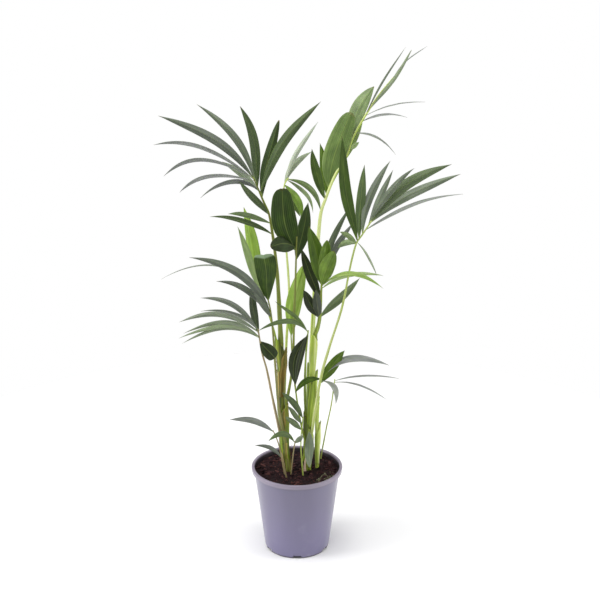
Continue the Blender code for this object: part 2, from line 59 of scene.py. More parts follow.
# Pot
RIM_HEIGHT = 0.011
RIM_OVERHANG = 0.0065
WALL = 0.0016
FOOT_RADIUS = 0.0745
FOOT_WALL = 0.0022
FOOT_HEIGHT = 0.008
FOOT_CORNER = 0.006
FOOT_BULGE = 0.0015
FLOOR = 0.0022
HUB_RADIUS = 0.016
HUB_DRAFT = 0.003
NOTCHES = 6
NOTCH_WIDTH = 0.019
NOTCH_HEIGHT = 0.007
NOTCH_DEPTH = 0.012
DRAIN_HOLES = 6
DRAIN_RADIUS = 0.005
DRAIN_CIRCLE = 0.045
POT_STEPS = 160
FLOOR_RADIUS = 1.25

# Palms
STEM_FOOT_RADIUS = 0.0070
STEM_TOP_RADIUS = 0.0064
THIN_STEM_RADIUS = 0.0045
STALK_RADIUS = 0.0042
THIN_STALK_RADIUS = 0.0027
RACHIS_RADIUS = 0.0016
SEEDLING_RADIUS = 0.0018
SEEDLING_TOP_RADIUS = 0.0013
HUSK_RADIUS = 0.0032
HUG_LENGTH = 0.045
JOINT_LENGTH = 0.012
SET_IN = 0.004
BURIED = 0.012
GAP = 0.0003
BLADE_THICKNESS = 0.00045
BLADE_ACROSS = 10
BLADE_ALONG = 34
WIDEST_AT = 0.45
WIDEST_WHEN_BLUNT = 0.9
BLUNT_FROM = 0.7
BLUNT_RANGE = 0.3
ROUNDED_FROM = 0.86
ROUNDED_RANGE = 0.14
BASE_WIDTH = 0.16
TIP_WIDTH = 0.25
TUBE_SIDES = 14
STEM_SIDES = 22
STEM_STEPS = 60
STEM_SWELL = 0.12
SHEATH_SIDES = 26
SHEATH_STEPS = 24
SHEATH_SPREAD = 1.15
SHEATH_SLANT = 0.020
FIBRE_RADIUS = 0.00035
FIBRE_SPREAD = 0.0085
FIBRE_LENGTH = 0.035

# The radii of a stem or stalk, at its foot and at its end
THICK_STEM = (STEM_FOOT_RADIUS, STEM_TOP_RADIUS)
THIN_STEM = (THIN_STEM_RADIUS, THIN_STEM_RADIUS)
FROND_STALK = (STALK_RADIUS, RACHIS_RADIUS)
STEM_STALK = (STEM_TOP_RADIUS, RACHIS_RADIUS)
THIN_STALK = (THIN_STALK_RADIUS, RACHIS_RADIUS)
SHOOT = (SEEDLING_RADIUS, SEEDLING_TOP_RADIUS)

# Compost and what lies on it
SOIL_RINGS = 46
SOIL_STEPS = 150
GRIT_BEARING = -32.0
GRIT_SPREAD = 10.0
GRIT_BAND = (0.066, 0.092)

# Camera
CAMERA_PLACE = (0.007, -2.5, 1.46)
CAMERA_DOWN = 18.79
LENS_LENGTH = 71.4
SENSOR_WIDTH = 36.0

# The middle line of each stem, from its foot, with heights above the soil
LEFT_STEM = [(-0.020, -0.010, 0.0), (-0.028, -0.010, 0.08), (-0.035, -0.010, 0.18), (-0.036, -0.015, 0.32)]
MIDDLE_STEM = [(0.025, 0.0, 0.0), (0.028, 0.0, 0.10), (0.032, 0.0, 0.20), (0.040, -0.015, 0.33)]
RIGHT_STEM = [(0.047, 0.010, 0.0), (0.046, 0.005, 0.12), (0.048, -0.004, 0.185)]
REAR_STEM = [(0.020, 0.045, 0.0), (0.026, 0.045, 0.10), (0.033, 0.048, 0.24)]

# back: how far below the end of its stalk a leaflet sits. angle: from upright, to the right. lean: to the
# front. bow: how far the middle stands above the straight line to the tip. tone: 0 dark to 1 pale. ash: how
# far the blade is painted grey, a painted sheen. roll: the blade's turn about its midrib. blunt: the tip's
# width as a share of the widest. fold: the slope of each half away from the midrib.
Leaflet = namedtuple(
    "Leaflet",
    "back angle lean length width bow tone ash roll blunt fold",
    defaults=(0.3, 0.2, 0.0, 0.04, 18.0),
)
# tone: the stalk's, 0 dusty straw, 0.5 green, 1 pale. feet: its first points. stalk: the rest of them.
Frond = namedtuple("Frond", "name slot tone feet stalk leaflets radii")


# ---- Points and curves ----


def smooth_curve(points, count):
    """Evenly spaced points on a smooth curve that passes through the given ones."""
    fine = []
    last = len(points) - 1
    steps = 12
    for i in range(last):
        p0, p1, p2, p3 = (points[min(max(k, 0), last)] for k in (i - 1, i, i + 1, i + 2))
        for step in range(steps):
            t = step / steps
            fine.append(
                0.5 * (2 * p1 + (p2 - p0) * t + (2 * p0 - 5 * p1 + 4 * p2 - p3) * t**2
                       + (3 * p1 - p0 - 3 * p2 + p3) * t**3)
            )
    fine.append(points[-1].copy())
    return [point_at(fine, i / (count - 1)) for i in range(count)]


def curve_length(points):
    """The length of a run of points."""
    return sum((b - a).length for a, b in zip(points, points[1:]))


def point_at(points, share):
    """The point at this share of a run's length."""
    left = share * curve_length(points)
    for a, b in zip(points, points[1:]):
        step = (b - a).length
        if left <= step and step > 0:
            return a.lerp(b, left / step)
        left -= step
    return points[-1].copy()


def direction_at(points, i):
    """The direction of a run of points at point i."""
    return (points[min(i + 1, len(points) - 1)] - points[max(i - 1, 0)]).normalized()


def across(direction, facing):
    """Two unit vectors square to the direction: the first is sideways, the second is nearest to facing."""
    side = direction.cross(facing).normalized()
    return side, side.cross(direction).normalized()


def outward_at(turn):
    """The level unit vector at this turn about the upright."""
    return Vector((math.cos(turn), math.sin(turn), 0.0))


def above_soil(points):
    """Points of a palm, with heights above the soil, in the part's frame."""
    return [Vector((x, y, SOIL_TOP + z)) for x, y, z in points]


def stem_run(points, count=10):
    """A stem's smooth run from the soil to its top."""
    return smooth_curve(above_soil(points), count)


def on_top(stem_points):
    """The first points of a frond that carries a stem on."""
    run = stem_run(stem_points)
    onward = direction_at(run, len(run) - 1)
    return [run[-1] - 0.02 * onward, run[-1] + 2 * GAP * onward, run[-1] + JOINT_LENGTH * onward]


def beside(stem_points, height, bearing, radius=STALK_RADIUS):
    """The first points of a stalk, which slides out of its sheath and then lies along the stem."""
    run = stem_run(stem_points)
    outward = outward_at(math.radians(bearing))
    tall = curve_length(run)
    found = []
    for step, away in ((-1.6, 0.1), (-0.8, 0.55), (0.0, 0.9), (0.5, 1.0), (1.0, 1.0)):
        share = max((height + step * HUG_LENGTH) / tall, 0.0)
        stem_radius = STEM_FOOT_RADIUS + (STEM_TOP_RADIUS - STEM_FOOT_RADIUS) * share
        found.append(point_at(run, share) + away * (stem_radius + radius + 2 * GAP) * outward)
    return [point for i, point in enumerate(found) if i == 0 or (point - found[i - 1]).length > 0.004]


def in_soil(x, y):
    """The first points of a shoot that comes out of the soil by itself."""
    return [Vector((x, y, SOIL_TOP - BURIED)), Vector((x, y, SOIL_TOP))]


# ---- Meshes ----


def placed(name, data):
    """An object of this data, in the scene."""
    made = bpy.data.objects.new(name, data)
    bpy.context.scene.collection.objects.link(made)
    return made


def meshed(name, bm):
    """An object with the bmesh as its mesh, in the scene."""
    mesh = bpy.data.meshes.new(name)
    bm.to_mesh(mesh)
    bm.free()
    return placed(name, mesh)


def layer(kind, name):
    """The vertex layer of this kind and name, which is made if there is none."""
    return kind.get(name) or kind.new(name)


def finished(name, bm, finishes, replaced=()):
    """The bmesh as a finished piece of the plant that rides on its body."""
    piece = meshed(name, bm)
    piece.data.shade_smooth()
    for finish in finishes:
        piece.data.materials.append(finish)
    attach(piece, BODY)
    if replaced:
        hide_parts(*replaced)
    return piece


def grown(bm, rings):
    """A closed solid through the rings: an end face is extruded from each ring to the next."""
    first = end = bm.faces.new([bm.verts.new(point) for point in rings[0]])
    made = [list(first.verts)]
    for ring in rings[1:]:
        moved = bmesh.ops.extrude_face_region(bm, geom=[end])["geom"]
        if end is not first:
            bm.faces.remove(end)
        end = next(item for item in moved if isinstance(item, bmesh.types.BMFace))
        for vert, point in zip(end.verts, ring):
            vert.co = point
        made.append(list(end.verts))
    return made


def tube(bm, points, radius_at, sides=TUBE_SIDES, groove=0.0, seed=0.0, tone=0.5):
    """A round stalk along the points, grooved along its front, which knows its own section and length."""
    section = layer(bm.verts.layers.float_vector, "section")
    shade = layer(bm.verts.layers.float_color, "shade")
    total = curve_length(points)
    turns = [math.tau * k / sides for k in range(sides)]
    side = across(direction_at(points, 0), Vector((0.0, -1.0, 0.3)))[0]
    rings, shares, gone = [], [], 0.0
    for i, point in enumerate(points):
        direction = direction_at(points, i)
        side = (side - direction * direction.dot(side)).normalized()
        front = side.cross(direction)
        gone += (point - points[i - 1]).length if i else 0.0
        share = gone / total
        radius = radius_at(share)
        ring = []
        for a in turns:
            dent = 1.0 - groove * math.exp(-(((a - math.pi / 2) / 0.5) ** 2))
            ring.append(point + radius * dent * (math.cos(a) * side + math.sin(a) * front))
        rings.append(ring)
        shares.append(share)
    for verts, share in zip(grown(bm, rings), shares):
        for vert, a in zip(verts, turns):
            vert[section] = (math.cos(a), math.sin(a), share * total)
            vert[shade] = (tone, share, seed, 1.0)


def blade_width(t, blunt):
    """A blade's width at a share of its length, 1 at its widest. A very blunt one is widest near its end."""
    widest = WIDEST_AT + (WIDEST_WHEN_BLUNT - WIDEST_AT) * max(0.0, blunt - BLUNT_FROM) / BLUNT_RANGE
    if t < widest:
        return BASE_WIDTH + 0.84 * math.sin(0.5 * math.pi * t / widest) ** 1.1
    taper = math.cos(0.5 * math.pi * ((t - widest) / (1.0 - widest)) ** 1.25)
    rounding = math.sqrt(max(0.0, 1.0 - (max(0.0, t - ROUNDED_FROM) / ROUNDED_RANGE) ** 2))
    return (blunt + (1.0 - blunt) * taper) * (TIP_WIDTH + 0.75 * rounding)


def blade(bm, base, leaflet, rng):
    """One leaflet: a grid laid along its arched midrib, folded along it and narrowed to its base and tip."""
    place = layer(bm.verts.layers.float_vector, "blade")
    shade = layer(bm.verts.layers.float_color, "shade")
    angle, lean = math.radians(leaflet.angle), math.radians(leaflet.lean)
    reach = Vector((math.sin(angle) * math.cos(lean), -math.sin(lean), math.cos(angle) * math.cos(lean)))
    inward = angle + math.copysign(math.pi / 2, -leaflet.angle)
    lift = Vector((math.sin(inward), 0.0, math.cos(inward)))
    facing = Vector((0.0, -1.0, 0.5)) if abs(leaflet.lean) < 45 else Vector((0.0, 0.0, 1.0))
    flat, upper = across(reach, facing)
    seed = rng.random()
    wave, phase = rng.uniform(0.002, 0.006) * leaflet.length * 4, rng.uniform(0.0, math.tau)
    turn, edge = rng.uniform(-14.0, 14.0), rng.uniform(0.0, 0.03)
    grid = bmesh.ops.create_grid(bm, x_segments=BLADE_ACROSS, y_segments=BLADE_ALONG, size=0.5)["verts"]
    for vert in grid:
        s, t = 2.0 * vert.co.x, vert.co.y + 0.5
        centre = base + leaflet.length * t * reach + 4.0 * leaflet.bow * t * (1.0 - t) * lift
        direction = (leaflet.length * reach + 4.0 * leaflet.bow * (1.0 - 2.0 * t) * lift).normalized()
        roll = math.radians(leaflet.roll + turn * (t - 0.4))
        breadth = math.cos(roll) * flat + math.sin(roll) * upper
        side = (breadth - direction * direction.dot(breadth)).normalized()
        face = side.cross(direction)
        half = 0.5 * leaflet.width * blade_width(t, leaflet.blunt)
        fold = math.radians(leaflet.fold + 50.0 * math.exp(-t / 0.06) + 10.0 * t**3)
        centre += wave * math.sin(math.pi * t) * math.sin(3.0 * t + phase) * side
        ripple = edge * half * math.sin(26.0 * t + 9.0 * s + phase) * s * s
        drop = half * (abs(s) * math.sin(fold) - 0.10 * s * s) - ripple
        vert.co = centre + half * s * math.cos(fold) * side - drop * face
        vert[place] = (s, t, seed)
        vert[shade] = (leaflet.tone, leaflet.ash, leaflet.blunt, 1.0)


# ---- Finishes ----


def paint(red, green, blue):
    """A colour from its display values, 0 to 255, with full alpha."""
    return (*(((c / 255 + 0.055) / 1.055) ** 2.4 if c > 10 else c / 3295 for c in (red, green, blue)), 1.0)


class Signal:
    """A node's output that can be used in sums. Each operator adds the Math node that works it out."""

    def __init__(self, finish, socket):
        self.finish = finish
        self.socket = socket

    def other(self, name):
        return Signal(self.finish, self.socket.node.outputs[name])

    def maths(self, operation, *values, clamped=False):
        settings = {"operation": operation, "use_clamp": clamped}
        return self.finish.node("ShaderNodeMath", settings, dict(enumerate(values)))

    def __add__(self, value):
        return self.maths("ADD", self, value)

    def __sub__(self, value):
        return self.maths("SUBTRACT", self, value)

    def __rsub__(self, value):
        return self.maths("SUBTRACT", value, self)

    def __mul__(self, value):
        return self.maths("MULTIPLY", self, value)

    def __pow__(self, value):
        return self.maths("POWER", self, value)

    def __abs__(self):
        return self.maths("ABSOLUTE", self)

    __radd__ = __add__

    def sine(self):
        return self.maths("SINE", self)

    def clamped(self):
        return self.maths("ADD", self, 0.0, clamped=True)

    def from_to(self, low, high):
        """0 below low, 1 above high, and smooth between them. It falls where high is the smaller one."""
        settings = {"interpolation_type": "SMOOTHSTEP"}
        ends = {"Value": self, "From Min": min(low, high), "From Max": max(low, high)}
        risen = self.finish.node("ShaderNodeMapRange", settings, ends)
        return risen if low < high else 1.0 - risen


class Finish:
    """A material with one Principled shader."""

    def __init__(self, name, **constants):
        self.material = bpy.data.materials.new(name)
        self.material.use_nodes = True
        self.tree = self.material.node_tree
        self.shader = self.tree.nodes["Principled BSDF"]
        for socket, value in constants.items():
            self.shader.inputs[socket.replace("_", " ")].default_value = value

    def node(self, kind, settings=None, sockets=None):
        """A node of this kind, as its first output that is in use."""
        made = self.tree.nodes.new(kind)
        for name, value in (settings or {}).items():
            if name == "stops":
                ramp = made.color_ramp
                while len(ramp.elements) < len(value):
                    ramp.elements.new(0.5)
                for element, (position, colour) in zip(ramp.elements, value):
                    element.position = position
                    element.color = colour
            else:
                setattr(made, name, value)
        for key, value in (sockets or {}).items():
            self.feed(made.inputs[key], value)
        return Signal(self, next(output for output in made.outputs if output.enabled))

    def feed(self, socket, value):
        """Links a signal to a socket, or sets the socket's own value."""
        if isinstance(value, Signal):
            self.tree.links.new(value.socket, socket)
        else:
            socket.default_value = value

    def attribute(self, name):
        """A vector or colour that the piece's own mesh carries, as its three numbers."""
        read = self.node("ShaderNodeAttribute", {"attribute_name": name})
        parts = self.node("ShaderNodeSeparateXYZ", {}, {"Vector": read.other("Vector")})
        return parts, parts.other("Y"), parts.other("Z")

    def spot(self):
        """The place on the object, as its three numbers."""
        read = self.node("ShaderNodeTexCoord")
        parts = self.node("ShaderNodeSeparateXYZ", {}, {"Vector": read.other("Object")})
        return parts, parts.other("Y"), parts.other("Z")

    def vector(self, x, y, z):
        return self.node("ShaderNodeCombineXYZ", {}, {"X": x, "Y": y, "Z": z})

    def speckle(self, vector, scale=1.0, detail=3.0, roughness=0.55, distortion=0.0):
        """Cloudy noise from 0 to 1."""
        sockets = {"Vector": vector, "Scale": scale, "Detail": detail}
        sockets.update({"Roughness": roughness, "Distortion": distortion})
        return self.node("ShaderNodeTexNoise", {}, sockets)

    def mixed(self, factor, first, second):
        """One colour turned to another by a factor."""
        settings = {"data_type": "RGBA", "clamp_factor": True}
        return self.node("ShaderNodeMix", settings, {0: factor, 6: first, 7: second})

    def ramp(self, factor, stops):
        """A colour by a factor, through stops of place, red, green and blue."""
        colours = [(place, paint(*shade)) for place, *shade in stops]
        return self.node("ShaderNodeValToRGB", {"stops": colours}, {"Fac": factor})

    def coloured(self, colour, roughness, coat=None):
        self.feed(self.shader.inputs["Base Color"], colour)
        self.feed(self.shader.inputs["Roughness"], roughness)
        if coat is not None:
            self.feed(self.shader.inputs["Coat Weight"], coat)

    def raised(self, height, distance, strength=1.0):
        """A bump of this height, in metres at height 1."""
        sockets = {"Height": height, "Distance": distance, "Strength": strength}
        self.feed(self.shader.inputs["Normal"], self.node("ShaderNodeBump", {}, sockets))


def leaf_finish(name, under):
    """A palm leaflet's skin: parallel nerves, a pale midrib and margin, soft mottling, a dry brown tip and a
    painted grey sheen.
    """
    finish = Finish(
        name,
        Specular_IOR_Level=0.12 if under else 0.16,
        Subsurface_Weight=0.10,
        Subsurface_Radius=(0.4, 1.0, 0.15),
        Subsurface_Scale=0.0008,
        Coat_Roughness=0.35,
    )
    s, t, seed = finish.attribute("blade")
    tone, ash, blunt = finish.attribute("shade")
    fine = finish.speckle(finish.vector(s * 5.0, t * 1.4, seed * 40.0), detail=2.0, roughness=0.5)
    broad = finish.speckle(finish.vector(s * 1.3, t * 5.0, seed * 70.0), detail=2.0)
    from_midrib = abs(s)
    level = tone + (fine - 0.5) * 0.30 + (broad - 0.5) * 0.34 + (seed - 0.5) * 0.08 + (0.10 if under else 0.0)
    green = finish.ramp(
        level.clamped(),
        [(0.0, 4, 12, 1), (0.25, 36, 62, 7), (0.5, 80, 108, 20), (0.75, 130, 162, 56), (1.0, 196, 216, 126)],
    )
    grey = finish.ramp(level.clamped(), [(0.0, 20, 22, 24), (0.5, 107, 110, 111), (1.0, 199, 200, 201)])
    # Painted sheen: each blade is turned grey by its share of sheen.
    colour = finish.mixed(ash * 1.05, green, grey)
    nerves = (s * 38.0 + seed * 6.0).sine() * 0.5 + 0.5
    colour = finish.mixed(nerves * 0.15, colour, paint(132, 150, 90))
    midrib = from_midrib.from_to(0.085, 0.02)
    colour = finish.mixed(midrib * (0.34 if under else 0.22), colour, paint(150, 168, 84))
    margin = from_midrib.from_to(0.93, 1.0)
    colour = finish.mixed(margin * 0.30, colour, paint(150, 160, 96))
    heel = t.from_to(0.10, 0.0)
    colour = finish.mixed(heel * 0.5, colour, paint(140, 160, 76))
    dry = (t + fine * 0.06).from_to(0.985, 1.03) * blunt.from_to(0.8, 0.5)
    colour = finish.mixed(dry * 0.6, colour, paint(104, 84, 48))
    rim = t.from_to(0.90, 0.945) * blunt.from_to(0.88, 0.92)
    colour = finish.mixed(rim * 0.75, colour, paint(152, 176, 140))
    finish.coloured(colour, 0.40 + fine * 0.16 + (0.10 if under else 0.0), ash * 0.35 + 0.04)
    pleats = (s * 11.0 + seed * 3.0).sine() * 0.5 + 0.5
    finish.raised(nerves * 0.15 + pleats * 0.6 + midrib * 1.2 + fine * 0.08, 0.00022, 0.6)
    return finish.material


def stalk_finish():
    """A stalk's skin: straw, olive, green or pale by its tone, with fibres, streaks and blotches."""
    finish = Finish("stalk_skin", Specular_IOR_Level=0.3, Subsurface_Weight=0.05, Subsurface_Scale=0.001)
    around, beside_it, along = finish.attribute("section")
    tone, _, seed = finish.attribute("shade")
    fibres = finish.speckle(
        finish.vector(around * 5.0 + seed * 30.0, beside_it * 5.0, along * 8.0), detail=3.0, roughness=0.6
    )
    streaks = finish.speckle(
        finish.vector(around * 1.4 + seed * 9.0, beside_it * 1.4, along * 2.5), detail=1.0
    )
    blotches = finish.speckle(
        finish.vector(around * 1.2, beside_it * 1.2 + seed * 30.0, along * 22.0), detail=3.0, distortion=0.4
    )
    level = tone + (fibres - 0.5) * 0.4 + (blotches - 0.5) * 0.3 + (streaks - 0.5) * 0.7
    green = finish.ramp(
        level.clamped(),
        [
            (0.0, 180, 164, 134), (0.2, 140, 132, 84), (0.45, 116, 136, 42),
            (0.7, 166, 186, 78), (1.0, 224, 228, 172),
        ],
    )
    stain = (blotches + fibres * 0.5 - tone * 0.3).from_to(0.62, 0.85)
    colour = finish.mixed(stain * 0.4, green, paint(126, 94, 54))
    finish.coloured(colour, 0.42 + fibres * 0.2, 0.15)
    finish.raised(fibres, 0.0003, 0.7)
    return finish.material


def stem_finish():
    """A stem of rolled leaf bases: green and straw, with brown fibrous patches and dark streaks, partly
    painted shade and light down its sides.
    """
    finish = Finish("stem_skin", Specular_IOR_Level=0.3, Subsurface_Weight=0.05, Subsurface_Scale=0.001)
    around, beside_it, along = finish.attribute("section")
    tone, _, seed = finish.attribute("shade")
    fibres = finish.speckle(
        finish.vector(around * 5.0, beside_it * 5.0 + seed * 20.0, along * 12.0), detail=4.0, roughness=0.65
    )
    # Partly painted shade and light: these broad streaks around the stem darken and lighten its sides,
    # besides its own streaking.
    streaks = finish.speckle(
        finish.vector(around * 1.5 + seed * 9.0, beside_it * 1.5, along * 2.0), detail=1.0
    )
    blotches = finish.speckle(
        finish.vector(around * 0.9 + seed * 20.0, beside_it * 0.9, along * 14.0), detail=3.0, distortion=0.6
    )
    level = (tone + (fibres - 0.5) * 0.6 + (blotches - 0.5) * 0.3 + (streaks - 0.5) * 1.3).clamped()
    green = finish.ramp(
        level,
        [
            (0.0, 48, 58, 12), (0.3, 92, 108, 24), (0.55, 146, 172, 44),
            (0.8, 190, 208, 96), (1.0, 226, 230, 176),
        ],
    )
    bare = (blotches * 0.8 + fibres * 0.45 - tone * 0.6).from_to(0.38, 0.62)
    straw = finish.ramp(fibres, [(0.3, 58, 44, 14), (0.5, 126, 104, 40), (0.7, 204, 184, 112)])
    colour = finish.mixed(bare, green, straw)
    finish.coloured(colour, 0.42 + bare * 0.3, 0.2 - bare * 0.2)
    finish.raised(fibres + bare * 0.4, 0.0005, 0.8)
    return finish.material


def pot_finish():
    """Satin moulded plastic in a lavender grey, faintly streaked by its flow and scuffed at its foot. Its rim
    lip carries a painted highlight, with a painted shadow under it and painted shade on the inner wall.
    """
    finish = Finish("pot_skin", Specular_IOR_Level=0.5, Coat_Roughness=0.25)
    x, y, z = finish.spot()
    flow = finish.speckle(finish.vector(x * 16.0, y * 16.0, z * 2.0), detail=3.0, distortion=0.5)
    grain = finish.speckle(finish.vector(x, y, z), scale=1400.0, detail=2.0)
    cloud = finish.speckle(finish.vector(x, y, z), scale=18.0, detail=4.0)
    colour = finish.mixed(flow, paint(99, 94, 121), paint(110, 104, 133))
    low = finish.mixed(flow, paint(105, 99, 133), paint(117, 111, 146))
    colour = finish.mixed(z.from_to(0.18, 0.01), colour, low)
    # Painted highlight: the band of the rim lip is painted a paler pinkish grey all round.
    lip = z.from_to(POT_HEIGHT - RIM_HEIGHT - 0.001, POT_HEIGHT - RIM_HEIGHT + 0.004)
    colour = finish.mixed(lip * 0.6, colour, paint(146, 134, 148))
    # Painted shadow: a darker band just under the rim lip, where the overhang shades the wall.
    painted_shadow_under_lip = z.from_to(POT_HEIGHT - RIM_HEIGHT - 0.006, POT_HEIGHT - RIM_HEIGHT - 0.001) * (1.0 - lip)
    colour = finish.mixed(painted_shadow_under_lip * 0.45, colour, paint(80, 75, 96))
    colour = finish.mixed(cloud.from_to(0.55, 0.8) * 0.25, colour, paint(140, 136, 160))
    worn = (cloud + z.from_to(0.02, 0.0) * 0.3).from_to(0.70, 0.85)
    colour = finish.mixed(worn * 0.3, colour, paint(150, 146, 160))
    # Painted shade: the inner wall above the compost is painted almost black, fading with cloudy patches near
    # the top of the rim.
    away = (x * x + y * y) ** 0.5
    slope = (inner_radius(POT_HEIGHT) - inner_radius(0.0)) / POT_HEIGHT
    inside = (away - z * slope).from_to(inner_radius(0.0) + 0.0014, inner_radius(0.0) + 0.0006)
    painted_inner_shade = inside * (cloud * 0.3 + z.from_to(POT_HEIGHT - 0.002, POT_HEIGHT - 0.006)).clamped()
    colour = finish.mixed(painted_inner_shade * 0.92, colour, paint(24, 14, 18))
    finish.coloured(colour, 0.36 + cloud * 0.14 + worn * 0.1, 0.75)
    finish.raised(grain * 0.35 + flow * 0.5, 0.00012, 0.6)
    return finish.material


def soil_finish():
    """Damp fine compost."""
    finish = Finish("compost_skin", Specular_IOR_Level=0.25)
    x, y, z = finish.spot()
    crumbs = finish.speckle(finish.vector(x, y, z), scale=420.0, detail=6.0, roughness=0.7)
    clods = finish.speckle(finish.vector(x, y, z), scale=70.0, detail=4.0)
    dampness = crumbs * 0.7 + clods * 0.3
    colour = finish.ramp(dampness, [(0.35, 11, 3, 5), (0.55, 32, 12, 16), (0.75, 74, 42, 42)])
    finish.coloured(colour, 0.75 + crumbs * 0.2)
    finish.raised(crumbs + clods * 2.0, 0.002)
    return finish.material


def bark_finish(name, dark, middle, light):
    """Chips or fibres, each with its own shade, and a grain. The colours are as display values."""
    finish = Finish(name, Specular_IOR_Level=0.22)
    tone, _, seed = finish.attribute("shade")
    x, y, z = finish.spot()
    grain = finish.speckle(finish.vector(x, y, z + seed * 3.0), scale=600.0, detail=4.0, roughness=0.7)
    level = (tone + (grain - 0.5) * 0.5).clamped()
    colour = finish.ramp(level, [(0.0, *dark), (0.6, *middle), (1.0, *light)])
    finish.coloured(colour, 0.7 + grain * 0.2)
    finish.raised(grain, 0.0006)
    return finish.material


# ---- Pot, soil and what lies on it ----


def outer_radius(z):
    """The outside of the pot's wall, which widens evenly from its foot to its rim."""
    start = FOOT_RADIUS + FOOT_BULGE
    lip = POT_HEIGHT - RIM_HEIGHT
    return start + (RIM_RADIUS - RIM_OVERHANG - start) * (z - FOOT_CORNER) / (lip - FOOT_CORNER)


def inner_radius(z):
    """The inside of the pot's wall."""
    return outer_radius(z) - WALL


def rounded(corner, radius, before, after, steps=5):
    """The points of a corner rounded between the directions to the points before and after it."""
    corner, before, after = Vector(corner), Vector(before), Vector(after)
    first = corner + radius * (before - corner).normalized()
    last = corner + radius * (after - corner).normalized()
    shares = [i / steps for i in range(steps + 1)]
    return [tuple(first.lerp(corner, t).lerp(corner.lerp(last, t), t)) for t in shares]


def softened(outline, radius):
    """An outline with each corner between its ends rounded."""
    soft = [outline[0]]
    for before, corner, after in zip(outline, outline[1:], outline[2:]):
        room = 0.45 * min((Vector(corner) - Vector(before)).length, (Vector(after) - Vector(corner)).length)
        soft += rounded(corner, min(radius, room), before, after)
    return soft + [outline[-1]]


def turned(bm, outline, steps):
    """Spins an (r, z) outline, whose two ends are on the axis, into a closed shell."""
    verts = [bm.verts.new((r, 0.0, z)) for r, z in outline]
    edges = [bm.edges.new(pair) for pair in zip(verts, verts[1:])]
    bmesh.ops.spin(
        bm, geom=verts + edges, axis=(0, 0, 1), cent=(0, 0, 0), angle=math.tau, steps=steps, use_merge=True
    )
    bmesh.ops.remove_doubles(bm, verts=bm.verts, dist=1e-6)
    bmesh.ops.recalc_face_normals(bm, faces=bm.faces)


def cutter(bm):
    """A shape that is cut away from another piece."""
    made = meshed("cutter", bm)
    made.hide_render = True
    return made


def cut_away(piece, tools):
    """Takes the tools' shapes out of the piece for good."""
    for tool in tools:
        cut = piece.modifiers.new("cut", "BOOLEAN")
        cut.object = tool
        cut.operation = "DIFFERENCE"
    shaped = piece.evaluated_get(bpy.context.evaluated_depsgraph_get())
    old, piece.data = piece.data, bpy.data.meshes.new_from_object(shaped)
    piece.modifiers.clear()
    bpy.data.meshes.remove(old)
    for tool in tools:
        bpy.data.objects.remove(tool)


def make_pot(finish):
    """The pot, with a rolled rim, a step under it, notches in its foot and drain holes in its floor."""
    lip = POT_HEIGHT - RIM_HEIGHT
    floor_top = FOOT_HEIGHT + FLOOR
    outline = softened(
        [
            (0.0, floor_top),
            (inner_radius(floor_top), floor_top),
            (inner_radius(POT_HEIGHT), POT_HEIGHT),
            (RIM_RADIUS, POT_HEIGHT),
            (RIM_RADIUS - 0.0005, lip),
            (RIM_RADIUS - RIM_OVERHANG, lip),
            (outer_radius(FOOT_CORNER), FOOT_CORNER),
            (FOOT_RADIUS - 0.0003, 0.0),
            (FOOT_RADIUS - FOOT_WALL, 0.0),
            (FOOT_RADIUS - FOOT_WALL, FOOT_HEIGHT),
            (HUB_RADIUS + HUB_DRAFT, FOOT_HEIGHT),
            (HUB_RADIUS, 0.0),
            (0.0, 0.0),
        ],
        0.0019,
    )
    bm = bmesh.new()
    turned(bm, outline, POT_STEPS)
    piece = finished("nursery_pot", bm, [finish], ["pot"])
    notches = bmesh.new()
    for i in range(NOTCHES):
        turn = math.tau * i / NOTCHES - math.pi / 2
        notch = bmesh.ops.create_cube(notches, size=1.0)["verts"]
        bmesh.ops.scale(notches, verts=notch, vec=(NOTCH_DEPTH, NOTCH_WIDTH, 2 * NOTCH_HEIGHT))
        bmesh.ops.translate(notches, verts=notch, vec=(FOOT_RADIUS, 0.0, 0.0))
        bmesh.ops.rotate(notches, verts=notch, cent=(0, 0, 0), matrix=Matrix.Rotation(turn, 3, "Z"))
    drains = bmesh.new()
    for i in range(DRAIN_HOLES):
        turn = math.tau * (i + 0.5) / DRAIN_HOLES - math.pi / 2
        size = {"radius1": DRAIN_RADIUS, "radius2": DRAIN_RADIUS, "depth": 4 * FOOT_HEIGHT}
        hole = bmesh.ops.create_cone(drains, cap_ends=True, segments=24, **size)["verts"]
        middle = (DRAIN_CIRCLE * math.cos(turn), DRAIN_CIRCLE * math.sin(turn), FOOT_HEIGHT)
        bmesh.ops.translate(drains, verts=hole, vec=middle)
    cut_away(piece, [cutter(notches), cutter(drains)])
    piece.data.set_sharp_from_angle(angle=math.radians(50))


def surface_height(x, y):
    """How high the compost lies above its level: lumps, and a little hollow towards the wall."""
    lumps = 0.0035 * noise.noise(Vector((x * 38.0, y * 38.0, 0.3)))
    lumps += 0.0016 * noise.noise(Vector((x * 110.0, y * 110.0, 5.0)))
    return lumps - 0.002 * (math.hypot(x, y) / RIM_RADIUS) ** 4


def make_soil(finish):
    """The compost: a round plug with a lumpy top."""
    floor = FOOT_HEIGHT + FLOOR + GAP
    low, high = inner_radius(floor) - 2 * GAP, inner_radius(SOIL_TOP) - 2 * GAP
    top = [(high * i / SOIL_RINGS, SOIL_TOP) for i in range(SOIL_RINGS + 1)]
    bm = bmesh.new()
    turned(bm, top + [(low, floor), (0.0, floor)], SOIL_STEPS)
    for vert in bm.verts:
        if vert.co.z > SOIL_TOP - 0.001:
            vert.co.z += surface_height(vert.co.x, vert.co.y)
    finished("compost", bm, [finish], ["soil"])


